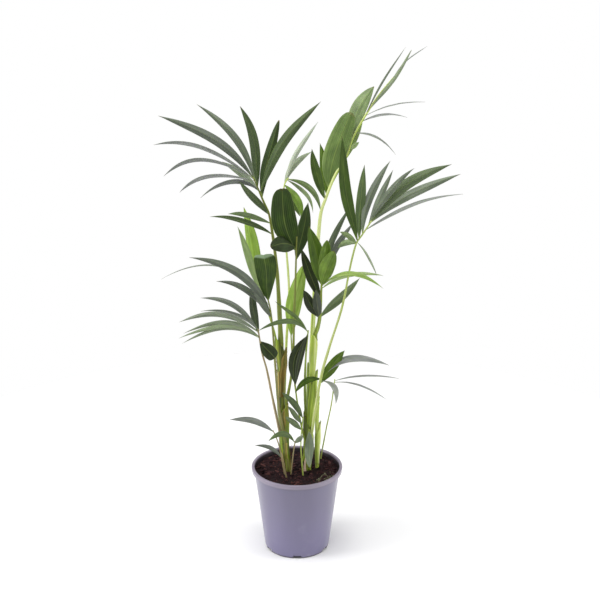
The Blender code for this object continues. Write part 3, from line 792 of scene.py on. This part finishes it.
def scatter(bm, count, rng, place, sizes, tones):
    """Angular bits, each a rough faceted lump, laid at places on the compost."""
    shade = bm.verts.layers.float_color.new("shade")
    for _ in range(count):
        x, y = place(rng)
        long, wide, thick = (rng.uniform(*span) for span in sizes)
        verts = bmesh.ops.create_icosphere(bm, subdivisions=1, radius=0.5)["verts"]
        bmesh.ops.scale(bm, verts=verts, vec=(long, wide, thick))
        for vert in verts:
            vert.co *= rng.uniform(0.75, 1.2)
        turn = Matrix.Rotation(rng.uniform(0, math.tau), 3, "Z")
        turn = turn @ Matrix.Rotation(rng.gauss(0.0, 0.35), 3, "X")
        turn = turn @ Matrix.Rotation(rng.gauss(0.0, 0.3), 3, "Y")
        bmesh.ops.rotate(bm, verts=verts, cent=(0, 0, 0), matrix=turn)
        height = SOIL_TOP + surface_height(x, y) + 0.25 * thick
        bmesh.ops.translate(bm, verts=verts, vec=(x, y, height))
        tone, seed = rng.uniform(*tones), rng.random()
        for vert in verts:
            vert[shade] = (tone, 0.0, seed, 1.0)


def anywhere(rng):
    """A place on the compost."""
    radius, turn = (inner_radius(SOIL_TOP) - 0.004) * math.sqrt(rng.random()), rng.uniform(0, math.tau)
    return radius * math.cos(turn), radius * math.sin(turn)


def near_front_right(rng):
    """A place in the patch of grit at the front right."""
    turn = math.radians(rng.gauss(GRIT_BEARING, GRIT_SPREAD))
    radius = rng.uniform(*GRIT_BAND)
    return radius * math.cos(turn), radius * math.sin(turn)


def make_loose_bits():
    """Coarse and fine bark, and some pale grit."""
    rng = random.Random(11)
    bark = bark_finish("bark_skin", (15, 4, 7), (48, 21, 25), (104, 66, 60))
    grit = bark_finish("grit_skin", (50, 50, 34), (94, 92, 70), (142, 138, 116))
    kinds = [
        ("bark_coarse", 190, anywhere, [(0.009, 0.022), (0.005, 0.011), (0.002, 0.005)], (0.10, 0.80), bark),
        ("bark_fine", 900, anywhere, [(0.002, 0.007), (0.0015, 0.004), (0.001, 0.003)], (0.0, 0.95), bark),
        ("grit", 130, near_front_right, [(0.002, 0.007), (0.002, 0.005), (0.001, 0.003)], (0.1, 0.95), grit),
    ]
    for name, count, place, sizes, tones, finish in kinds:
        bm = bmesh.new()
        scatter(bm, count, rng, place, sizes, tones)
        finished(name, bm, [finish]).data.shade_flat()


# ---- Stems, sheaths and husks ----


def make_stem(name, points, radii, tone, finish):
    """A stem, from just under the soil to its top, swollen a little at its foot and ringed."""
    run = stem_run(points, STEM_STEPS)
    buried = run[0] - Vector((0.0, 0.0, BURIED))
    run = [buried, run[0] - Vector((0.0, 0.0, 0.005))] + run
    foot_radius, top_radius = radii
    bm = bmesh.new()

    def radius_at(share):
        rings = 0.035 * math.sin(share * 46.0) + 0.03 * math.sin(share * 17.0 + 1.0)
        plain = foot_radius + (top_radius - foot_radius) * share
        return plain * (1.0 + STEM_SWELL * math.exp(-share / 0.05) + rings)

    tube(bm, run, radius_at, sides=STEM_SIDES, seed=len(name) * 0.07, tone=tone)
    finished(name + "_skin", bm, [finish], [name])


def make_sheath(name, stem_points, radii, top, bearing, length, tone, finish):
    """An old leaf base that wraps the stem, and widens to its top, where its stalk leaves the stem."""
    run = stem_run(stem_points, STEM_STEPS)
    tall = curve_length(run)
    outward = outward_at(math.radians(bearing))
    sideways = Vector((-outward.y, outward.x, 0.0))
    turns = [math.tau * k / SHEATH_SIDES for k in range(SHEATH_SIDES)]
    rings, heights = [], []
    for i in range(SHEATH_STEPS + 1):
        t = i / SHEATH_STEPS
        height = top - length * (1.0 - t)
        share = min(max(height / tall, 0.0), 1.0)
        stem_radius = radii[0] + (radii[1] - radii[0]) * share
        spread = SHEATH_SPREAD * stem_radius * min(1.0, t / 0.75) ** 1.6
        wrap = 0.0004 + 0.0006 * math.sin(math.pi * min(1.0, t * 1.1)) ** 0.5 if t < 0.9 else 0.0005
        centre = point_at(run, share) + 0.5 * spread * outward
        wide, deep = stem_radius + 0.5 * spread + wrap, stem_radius + 0.2 * spread + wrap
        slant = SHEATH_SLANT * t**5
        rings.append([
            centre + wide * math.cos(a) * outward + deep * math.sin(a) * sideways
            + Vector((0.0, 0.0, slant * math.cos(a) + 0.0012 * t**4 * math.sin(7.0 * a + bearing)))
            for a in turns
        ])
        heights.append(height)
    bm = bmesh.new()
    section = bm.verts.layers.float_vector.new("section")
    shade = bm.verts.layers.float_color.new("shade")
    for verts, height in zip(grown(bm, rings), heights):
        for vert, a in zip(verts, turns):
            vert[section] = (math.cos(a), math.sin(a), height)
            vert[shade] = (tone, height / tall, bearing / 360.0, 1.0)
    finished(name, bm, [finish])


def make_fibres(name, rng, centre, count, finish):
    """Loose brown fibres that stand away from a sheath."""
    spread, length = FIBRE_SPREAD, FIBRE_LENGTH
    bm = bmesh.new()
    for _ in range(count):
        turn, up = rng.uniform(0, math.tau), rng.uniform(0.0, 1.0)
        start = centre + Vector((spread * math.cos(turn), spread * math.sin(turn), up * length))
        out = outward_at(turn)
        reach = rng.uniform(0.3, 0.8) * length
        bend = rng.uniform(0.1, 0.5)
        steps = (0.0, 0.25, 0.5, 0.75, 1.0)
        points = [start + reach * (t * Vector((0, 0, 1)) + bend * t * t * out) for t in steps]
        seed = rng.random()
        tube(bm, points, lambda share: FIBRE_RADIUS * (1.0 - 0.7 * share), sides=4, seed=seed, tone=0.3)
    finished(name, bm, [finish])


# ---- Fronds ----

DARK, OLIVE, PALE = "leaf_dark", "leaf_olive", "leaf_pale"
L = Leaflet


def new_frond(name, slot, tone, feet, stalk, *leaflets, radii=FROND_STALK):
    """A frond, as its stalk's first points and the rest of its stalk, and its leaflets."""
    return Frond(name, slot, tone, feet, stalk, leaflets, radii)


FRONDS = [
    new_frond(
        "frond_upper_left", DARK, 0.42, on_top(LEFT_STEM),
        [(-0.043, -0.035, 0.495), (-0.057, -0.045, 0.615), (-0.069, -0.049, 0.650), (-0.091, -0.062, 0.709)],
        L(0.000, -51, 22, 0.255, 0.020, 0.021, 0.46, 0.75),
        L(0.005, -76, -24, 0.250, 0.015, 0.029, 0.50, 0.95, 68, 0.04, 8),
        L(0.010, -39, -18, 0.208, 0.017, 0.021, 0.37, 0.65),
        L(0.022, -9, 26, 0.210, 0.021, 0.011, 0.32, 0.25, 0, 0.12),
        L(0.048, 13, -17, 0.168, 0.023, 0.007, 0.15, 0.10, 0, 0.30),
        L(0.035, 31, 23, 0.265, 0.022, 0.013, 0.36, 0.25),
        L(0.002, -97, -34, 0.250, 0.013, 0.037, 0.50, 1.00, 68, 0.04, 8),
        L(0.007, -109, -39, 0.238, 0.013, 0.024, 0.48, 1.00, 68, 0.04, 8),
        L(0.030, -85, 42, 0.155, 0.013, 0.028, 0.50, 1.00, 60, 0.04, 8),
        L(0.032, -61, -42, 0.127, 0.016, 0.004, 0.50, 0.60, 30),
        L(0.090, -35, 27, 0.118, 0.016, 0.000, 0.38, 0.35, 20),
        L(0.110, -87, -34, 0.115, 0.014, 0.007, 0.40, 0.20, 40),
        L(0.135, -66, 25, 0.155, 0.014, 0.012, 0.34, 0.25, 45),
        radii=STEM_STALK,
    ),
    new_frond(
        "frond_centre", DARK, 0.38, beside(LEFT_STEM, 0.13, -20),
        [(-0.010, -0.035, 0.27), (-0.006, -0.050, 0.385), (-0.002, -0.070, 0.51), (0.000, -0.080, 0.585)],
        L(0.030, -11, 16, 0.155, 0.056, -0.008, 0.24, 0.00, 0, 0.60),
        L(0.022, -76, 36, 0.068, 0.038, 0.008, 0.16, 0.10, 0, 0.35),
        L(0.050, 12, -9, 0.125, 0.030, 0.000, 0.13, 0.10),
    ),
    new_frond(
        "frond_lower_left", DARK, 0.10, beside(LEFT_STEM, 0.06, 215),
        [(-0.054, -0.043, 0.195), (-0.066, -0.062, 0.273), (-0.076, -0.079, 0.323), (-0.083, -0.097, 0.383)],
        L(0.000, -67, -23, 0.151, 0.013, 0.021, 0.36, 0.80),
        L(0.002, -56, 33, 0.166, 0.012, 0.020, 0.46, 0.80, 60),
        L(0.005, -81, 3, 0.172, 0.013, 0.027, 0.56, 0.70, 20),
        L(0.018, -73, 39, 0.214, 0.010, 0.028, 0.62, 0.50),
        L(0.016, -71, 37, 0.200, 0.010, 0.028, 0.56, 0.60),
        L(0.020, -76, 40, 0.206, 0.009, 0.027, 0.60, 0.60),
        L(0.010, -10, -32, 0.114, 0.018, -0.003, 0.14, 0.40),
        L(0.030, 140, 0, 0.050, 0.030, 0.000, 0.04, 0.20, 0, 0.80, 4),
    ),
    new_frond(
        "frond_folded_left", OLIVE, 0.36, beside(LEFT_STEM, 0.04, 275),
        [(-0.042, -0.040, 0.19), (-0.054, -0.067, 0.39), (-0.062, -0.080, 0.445)],
        L(0.000, -4, 18, 0.120, 0.052, 0.000, 0.30, 0.00, 0, 0.95, 20),
        L(0.015, -80, -14, 0.250, 0.004, 0.060, 0.60, 0.80),
        L(0.035, -48, 18, 0.236, 0.019, 0.032, 0.50, 0.75),
        L(0.040, -58, -6, 0.141, 0.015, 0.022, 0.31, 0.80),
        L(0.045, -25, 31, 0.100, 0.012, 0.000, 0.40, 0.70),
    ),
    new_frond(
        "frond_young_left", PALE, 0.50, beside(LEFT_STEM, 0.15, 120),
        [(-0.046, 0.030, 0.300), (-0.066, 0.058, 0.370), (-0.080, 0.074, 0.415)],
        L(0.000, -13, -18, 0.197, 0.036, 0.000, 0.74, 0.00, 0, 0.10, 35),
        L(0.010, -20, -7, 0.170, 0.018, 0.000, 0.68, 0.30),
    ),
    new_frond(
        "frond_bright", PALE, 0.55, on_top(MIDDLE_STEM),
        [(0.050, -0.045, 0.39), (0.054, -0.073, 0.497)],
        L(0.020, -11, 18, 0.154, 0.033, 0.000, 0.46, 0.00),
        L(0.000, 5, 35, 0.125, 0.027, 0.000, 0.50, 0.00, 0, 0.20),
        L(0.022, 12, 43, 0.150, 0.034, 0.000, 0.55, 0.00, 0, 0.25),
        L(0.024, 82, 28, 0.146, 0.012, 0.033, 0.78, 0.10, 20),
        L(0.030, 87, -27, 0.155, 0.012, 0.019, 0.78, 0.30, 20),
        L(0.002, 22, -12, 0.163, 0.014, 0.008, 0.30, 0.55),
        L(0.004, 32, -23, 0.140, 0.016, 0.004, 0.34, 0.85),
        L(0.105, 50, -23, 0.126, 0.020, 0.000, 0.46, 0.40),
        L(0.107, -24, 28, 0.100, 0.024, 0.000, 0.00, 0.05),
        L(0.109, -6, 36, 0.110, 0.020, 0.000, 0.10, 0.60),
        L(0.060, -22, -18, 0.122, 0.024, 0.000, 0.02, 0.00),
        radii=STEM_STALK,
    ),
    new_frond(
        "frond_right", DARK, 0.76, beside(MIDDLE_STEM, 0.05, 300),
        [(0.052, -0.033, 0.235), (0.071, -0.048, 0.32), (0.090, -0.062, 0.39), (0.101, -0.074, 0.44),
         (0.114, -0.088, 0.523), (0.125, -0.099, 0.575), (0.136, -0.104, 0.594), (0.156, -0.114, 0.630)],
        L(0.055, -9, 14, 0.243, 0.025, -0.003, 0.33, 0.05),
        L(0.048, 5, -27, 0.160, 0.021, 0.003, 0.32, 0.25),
        L(0.035, 25, -35, 0.180, 0.018, 0.014, 0.35, 0.65),
        L(0.012, 28, -32, 0.137, 0.014, 0.000, 0.43, 0.65),
        L(0.002, 31, 28, 0.175, 0.015, 0.012, 0.44, 0.65),
        L(0.000, 46, 27, 0.232, 0.024, 0.016, 0.44, 0.40),
        L(0.004, 63, -9, 0.214, 0.020, 0.013, 0.46, 0.65),
        L(0.022, 77, -26, 0.245, 0.015, 0.016, 0.54, 0.90, 50, 0.04, 8),
        L(0.057, 145, 40, 0.090, 0.005, 0.005, 0.60, 0.60),
        L(0.059, -49, 31, 0.057, 0.012, 0.003, 0.60, 0.30),
        L(0.061, -117, -35, 0.053, 0.014, 0.008, 0.64, 0.40),
    ),
    new_frond(
        "frond_inner_left", OLIVE, 0.55, beside(MIDDLE_STEM, 0.10, 150),
        [(0.018, 0.002, 0.21), (0.020, -0.022, 0.29), (0.025, -0.048, 0.362)],
        L(0.000, -75, 33, 0.132, 0.012, 0.026, 0.44, 0.30),
        L(0.002, -39, 22, 0.122, 0.009, 0.005, 0.50, 0.20),
        L(0.004, -165, 28, 0.117, 0.014, 0.003, 0.03, 0.50),
        L(0.012, -166, 13, 0.113, 0.026, 0.014, 0.02, 0.20),
    ),
    new_frond(
        "leaf_folded_low", OLIVE, 0.55, beside(MIDDLE_STEM, 0.03, 252, THIN_STALK_RADIUS),
        [(0.028, -0.022, 0.112)],
        L(0.000, 179, 30, 0.085, 0.024, 0.000, 0.50, 0.60, 0, 0.15, 30),
        radii=THIN_STALK,
    ),
    new_frond(
        "leaf_young_centre", PALE, 0.70, beside(MIDDLE_STEM, 0.03, 210, THIN_STALK_RADIUS),
        [(0.005, -0.002, 0.14), (-0.008, -0.004, 0.25), (-0.013, -0.006, 0.335)],
        L(0.000, 9, 2, 0.170, 0.044, 0.004, 0.76, 0.00, 0, 0.35, 36),
        radii=THIN_STALK,
    ),
    new_frond(
        "frond_tall", PALE, 0.80, on_top(REAR_STEM),
        [(0.036, 0.060, 0.325), (0.043, 0.080, 0.449), (0.052, 0.103, 0.573), (0.064, 0.113, 0.617),
         (0.086, 0.128, 0.670), (0.108, 0.139, 0.703), (0.124, 0.152, 0.745), (0.142, 0.163, 0.778),
         (0.180, 0.183, 0.835), (0.219, 0.198, 0.880)],
        L(0.290, 17, -14, 0.178, 0.052, 0.012, 0.52, 0.20, 0, 0.60, 8),
        L(0.220, 25, -32, 0.118, 0.024, 0.000, 0.74, 0.20, 0, 0.30),
        L(0.160, 25, -29, 0.130, 0.036, 0.014, 0.60, 0.35, 0, 0.15, 8),
        L(0.110, 31, -10, 0.180, 0.005, 0.003, 0.48, 0.70),
        L(0.000, 50, -20, 0.110, 0.003, 0.006, 0.60, 0.90),
        L(0.095, 36, -10, 0.168, 0.012, -0.002, 0.58, 0.55, 0, 0.30, 45),
        L(0.105, 72, 26, 0.148, 0.013, 0.010, 0.56, 1.00, 60, 0.04, 8),
        L(0.120, 92, -32, 0.127, 0.013, 0.012, 0.56, 0.95, 50, 0.04, 8),
        L(0.150, 121, -17, 0.115, 0.012, 0.014, 0.60, 0.85, 50, 0.04, 8),
        L(0.190, 60, -23, 0.030, 0.012, 0.000, 0.70, 0.30),
        L(0.315, -14, 18, 0.135, 0.022, -0.005, 0.36, 0.05),
        L(0.305, -8, -22, 0.120, 0.020, 0.002, 0.38, 0.00),
        radii=STEM_STALK,
    ),
    new_frond(
        "frond_rear", PALE, 0.74, beside(LEFT_STEM, 0.12, 70),
        [(-0.024, 0.045, 0.30), (-0.018, 0.080, 0.41), (-0.027, 0.115, 0.54), (-0.030, 0.137, 0.635),
         (-0.019, 0.144, 0.660)],
        L(0.010, 31, -28, 0.166, 0.012, 0.008, 0.74, 0.70),
        L(0.012, 47, -42, 0.114, 0.016, 0.012, 0.70, 0.60),
        L(0.014, 149, 36, 0.092, 0.019, 0.010, 0.52, 0.00),
        L(0.030, 146, 7, 0.070, 0.010, 0.001, 0.40, 0.10),
        L(0.000, 137, -13, 0.114, 0.014, 0.022, 0.50, 0.30),
        L(0.002, 148, -33, 0.135, 0.010, 0.015, 0.64, 0.40),
    ),
    new_frond(
        "frond_low_right", OLIVE, 0.62, on_top(RIGHT_STEM),
        [(0.051, -0.010, 0.215), (0.058, -0.016, 0.242)],
        L(0.020, 29, 20, 0.118, 0.026, 0.004, 0.50, 0.00),
        L(0.003, 68, 24, 0.172, 0.020, 0.036, 0.54, 1.00, 30),
        L(0.010, 138, 47, 0.070, 0.016, 0.020, 0.74, 0.85),
        L(0.006, -112, 20, 0.068, 0.015, 0.012, 0.34, 0.00),
        radii=(THIN_STEM_RADIUS, RACHIS_RADIUS),
    ),
    new_frond(
        "frond_low_rear", OLIVE, 0.80, in_soil(0.0560, 0.0550),
        [(0.069, 0.056, 0.078), (0.080, 0.052, 0.140), (0.087, 0.032, 0.213)],
        L(0.000, 97, -20, 0.165, 0.010, 0.012, 0.56, 1.00, 60),
        L(0.005, 97, 30, 0.135, 0.010, 0.015, 0.60, 1.00, 60),
        radii=SHOOT,
    ),
    new_frond(
        "seedling_left", OLIVE, 0.14, in_soil(-0.028, -0.030),
        [(-0.041, -0.040, 0.08), (-0.054, -0.050, 0.122)],
        L(0.000, -62, 23, 0.118, 0.015, 0.011, 0.52, 0.90),
        radii=SHOOT,
    ),
    new_frond(
        "seedling_forked", OLIVE, 0.16, in_soil(-0.014, -0.030),
        [(-0.009, -0.035, 0.053), (-0.004, -0.040, 0.091)],
        L(0.000, -79, 18, 0.065, 0.014, 0.022, 0.42, 0.30),
        L(0.002, 32, 30, 0.040, 0.012, 0.000, 0.58, 0.60),
        radii=SHOOT,
    ),
    new_frond(
        "seedling_front", OLIVE, 0.12, in_soil(-0.024, -0.046),
        [(-0.030, -0.050, 0.036), (-0.036, -0.056, 0.061)],
        L(0.000, -53, 22, 0.080, 0.010, 0.009, 0.34, 0.80),
        radii=SHOOT,
    ),
    new_frond(
        "seedling_middle", OLIVE, 0.72, in_soil(0.014, -0.032),
        [(0.009, -0.036, 0.084), (0.014, -0.042, 0.152)],
        L(0.000, -33, 13, 0.090, 0.015, 0.004, 0.40, 0.30),
        L(0.014, -30, 24, 0.072, 0.012, 0.000, 0.45, 0.40),
        L(0.030, -41, 20, 0.060, 0.014, 0.000, 0.50, 0.40),
        radii=SHOOT,
    ),
]


# Each old leaf base: its stem and the stem's radii, the height of its top, its bearing, length and tone
SHEATHS = [
    ("left_outer", LEFT_STEM, THICK_STEM, 0.085, 215, 0.085, 0.38),
    ("left_front", LEFT_STEM, THICK_STEM, 0.060, 275, 0.060, 0.22),
    ("left_inner", LEFT_STEM, THICK_STEM, 0.155, -20, 0.120, 0.28),
    ("left_rear", LEFT_STEM, THICK_STEM, 0.175, 120, 0.110, 0.40),
    ("left_brown", LEFT_STEM, THICK_STEM, 0.290, 10, 0.100, 0.12),
    ("left_upper", LEFT_STEM, THICK_STEM, 0.325, 200, 0.080, 0.42),
    ("middle_outer", MIDDLE_STEM, THICK_STEM, 0.075, 300, 0.075, 0.50),
    ("middle_inner", MIDDLE_STEM, THICK_STEM, 0.125, 150, 0.100, 0.36),
    ("middle_upper", MIDDLE_STEM, THICK_STEM, 0.230, 20, 0.120, 0.52),
    ("middle_top", MIDDLE_STEM, THICK_STEM, 0.325, 250, 0.090, 0.80),
    ("right", RIGHT_STEM, THIN_STEM, 0.100, 20, 0.090, 0.84),
    ("rear", REAR_STEM, THICK_STEM, 0.150, 80, 0.130, 0.45),
    ("rear_upper", REAR_STEM, THICK_STEM, 0.235, 250, 0.090, 0.50),
]

# Loose fibres: their stem, height on it and number
FIBRES = [
    ("left_brown", LEFT_STEM, 0.245, 34),
    ("left_foot", LEFT_STEM, 0.012, 26),
    ("middle_foot", MIDDLE_STEM, 0.010, 18),
]

# Each stem: its middle line, radii and tone
STEMS = [
    ("stem_left", LEFT_STEM, THICK_STEM, 0.30),
    ("stem_middle", MIDDLE_STEM, THICK_STEM, 0.50),
    ("stem_right", RIGHT_STEM, THIN_STEM, 0.80),
    ("stem_rear", REAR_STEM, THICK_STEM, 0.55),
]


def make_frond(frond, leaf_skins, stalk_skin, rng):
    """A frond: a grooved stalk that tapers to its end, and its leaflets."""
    free = frond.feet[-1:] + above_soil(frond.stalk)
    run = frond.feet[:-1] + smooth_curve(free, 12 + 4 * len(free))
    run = smooth_curve(run, max(24, round(curve_length(run) / 0.008)))
    length = curve_length(run)
    first, last = frond.radii

    def radius_at(share):
        return (first + (last - first) * share**0.85) * (1.0 + 0.05 * math.sin(share * 31.0))

    bm = bmesh.new()
    tube(bm, run, radius_at, groove=0.22, seed=rng.random(), tone=frond.tone)
    finished(frond.name + "_stalk", bm, [stalk_skin], [frond.name])
    bm = bmesh.new()
    for leaflet in frond.leaflets:
        blade(bm, point_at(run, 1.0 - (leaflet.back + SET_IN) / length), leaflet, rng)
    piece = finished(frond.name + "_leaflets", bm, leaf_skins, [frond.name])
    skin = piece.modifiers.new("thickness", "SOLIDIFY")
    skin.thickness = BLADE_THICKNESS
    skin.offset = 0.0
    skin.material_offset = 1


# ---- Stage, light and camera ----


def make_stage():
    """A plain pale round of floor."""
    bm = bmesh.new()
    bmesh.ops.create_circle(bm, cap_ends=True, segments=96, radius=FLOOR_RADIUS)
    floor = meshed("floor", bm)
    surface = Finish("floor_surface", Base_Color=(0.9, 0.9, 0.9, 1.0), Roughness=0.8, Specular_IOR_Level=0.0)
    floor.data.materials.append(surface.material)


def add_lamp(name, place, target, width, height, power):
    """A soft box that looks at a target."""
    light = bpy.data.lights.new(name, "AREA")
    light.shape = "RECTANGLE"
    light.size = width
    light.size_y = height
    light.energy = power
    lamp = placed(name, light)
    lamp.location = place
    lamp.rotation_euler = (Vector(target) - Vector(place)).to_track_quat("-Z", "Y").to_euler()


def make_light():
    """A white surround, one broad soft box overhead and a tall one on either side."""
    world = bpy.data.worlds.new("surround")
    world.use_nodes = True
    tree = world.node_tree
    surround = tree.nodes["Background"]
    surround.inputs["Color"].default_value = (1.0, 1.0, 1.0, 1.0)
    surround.inputs["Strength"].default_value = 0.5
    backdrop = tree.nodes.new("ShaderNodeBackground")
    backdrop.inputs["Color"].default_value = (1.0, 1.0, 1.0, 1.0)
    seen = tree.nodes.new("ShaderNodeLightPath")
    both = tree.nodes.new("ShaderNodeMixShader")
    tree.links.new(seen.outputs["Is Camera Ray"], both.inputs[0])
    tree.links.new(surround.outputs[0], both.inputs[1])
    tree.links.new(backdrop.outputs[0], both.inputs[2])
    tree.links.new(both.outputs[0], tree.nodes["World Output"].inputs["Surface"])
    bpy.context.scene.world = world
    add_lamp("overhead", (-0.3, -0.3, 3.1), (0.0, 0.0, 0.5), 2.2, 2.2, 62.0)
    add_lamp("left_box", (-2.1, -0.5, 1.2), (0.0, 0.0, 0.5), 1.0, 2.2, 34.0)
    add_lamp("right_box", (2.1, -0.3, 1.2), (0.0, 0.0, 0.5), 1.0, 2.2, 24.0)
    bpy.context.scene.view_settings.view_transform = "Standard"


def make_camera():
    """The camera looks slightly down on the plant from the front."""
    lens = bpy.data.cameras.new("camera")
    lens.sensor_width = SENSOR_WIDTH
    lens.lens = LENS_LENGTH
    lens.clip_end = 100.0
    camera = placed("camera", lens)
    camera.location = CAMERA_PLACE
    camera.rotation_euler = (math.radians(90.0 - CAMERA_DOWN), 0.0, 0.0)
    bpy.context.scene.camera = camera


def build():
    """Everything that is seen."""
    make_pot(pot_finish())
    make_soil(soil_finish())
    make_loose_bits()
    stem_skin = stem_finish()
    husk_fibre = bark_finish("fibre_skin", (60, 36, 16), (124, 84, 40), (178, 138, 80))
    for name, line, radii, tone in STEMS:
        make_stem(name, line, radii, tone, stem_skin)
    for name, line, radii, top, bearing, length, tone in SHEATHS:
        make_sheath("sheath_" + name, line, radii, top, bearing, length, tone, stem_skin)
    rng = random.Random(7)
    for name, line, height, count in FIBRES:
        run = stem_run(line, 40)
        centre = point_at(run, height / curve_length(run))
        make_fibres("fibres_" + name, rng, centre, count, husk_fibre)
    husk_skin = bark_finish("husk_skin", (150, 110, 84), (228, 200, 176), (250, 238, 222))
    husk = [(0.0185, -0.0125, 0.0), (0.018, -0.014, 0.015), (0.020, -0.015, 0.036)]
    bm = bmesh.new()
    tube(bm, stem_run(husk, 14), lambda share: HUSK_RADIUS * (1.0 - 0.6 * share), groove=0.5, tone=0.6)
    finished("husk_skin", bm, [husk_skin], ["husk"])
    upper = leaf_finish("leaf_upper_side", False)
    under = leaf_finish("leaf_under_side", True)
    stalk_skin = stalk_finish()
    rng = random.Random(4)
    for frond in FRONDS:
        make_frond(frond, [upper, under], stalk_skin, rng)


build()
make_stage()
make_light()
make_camera()
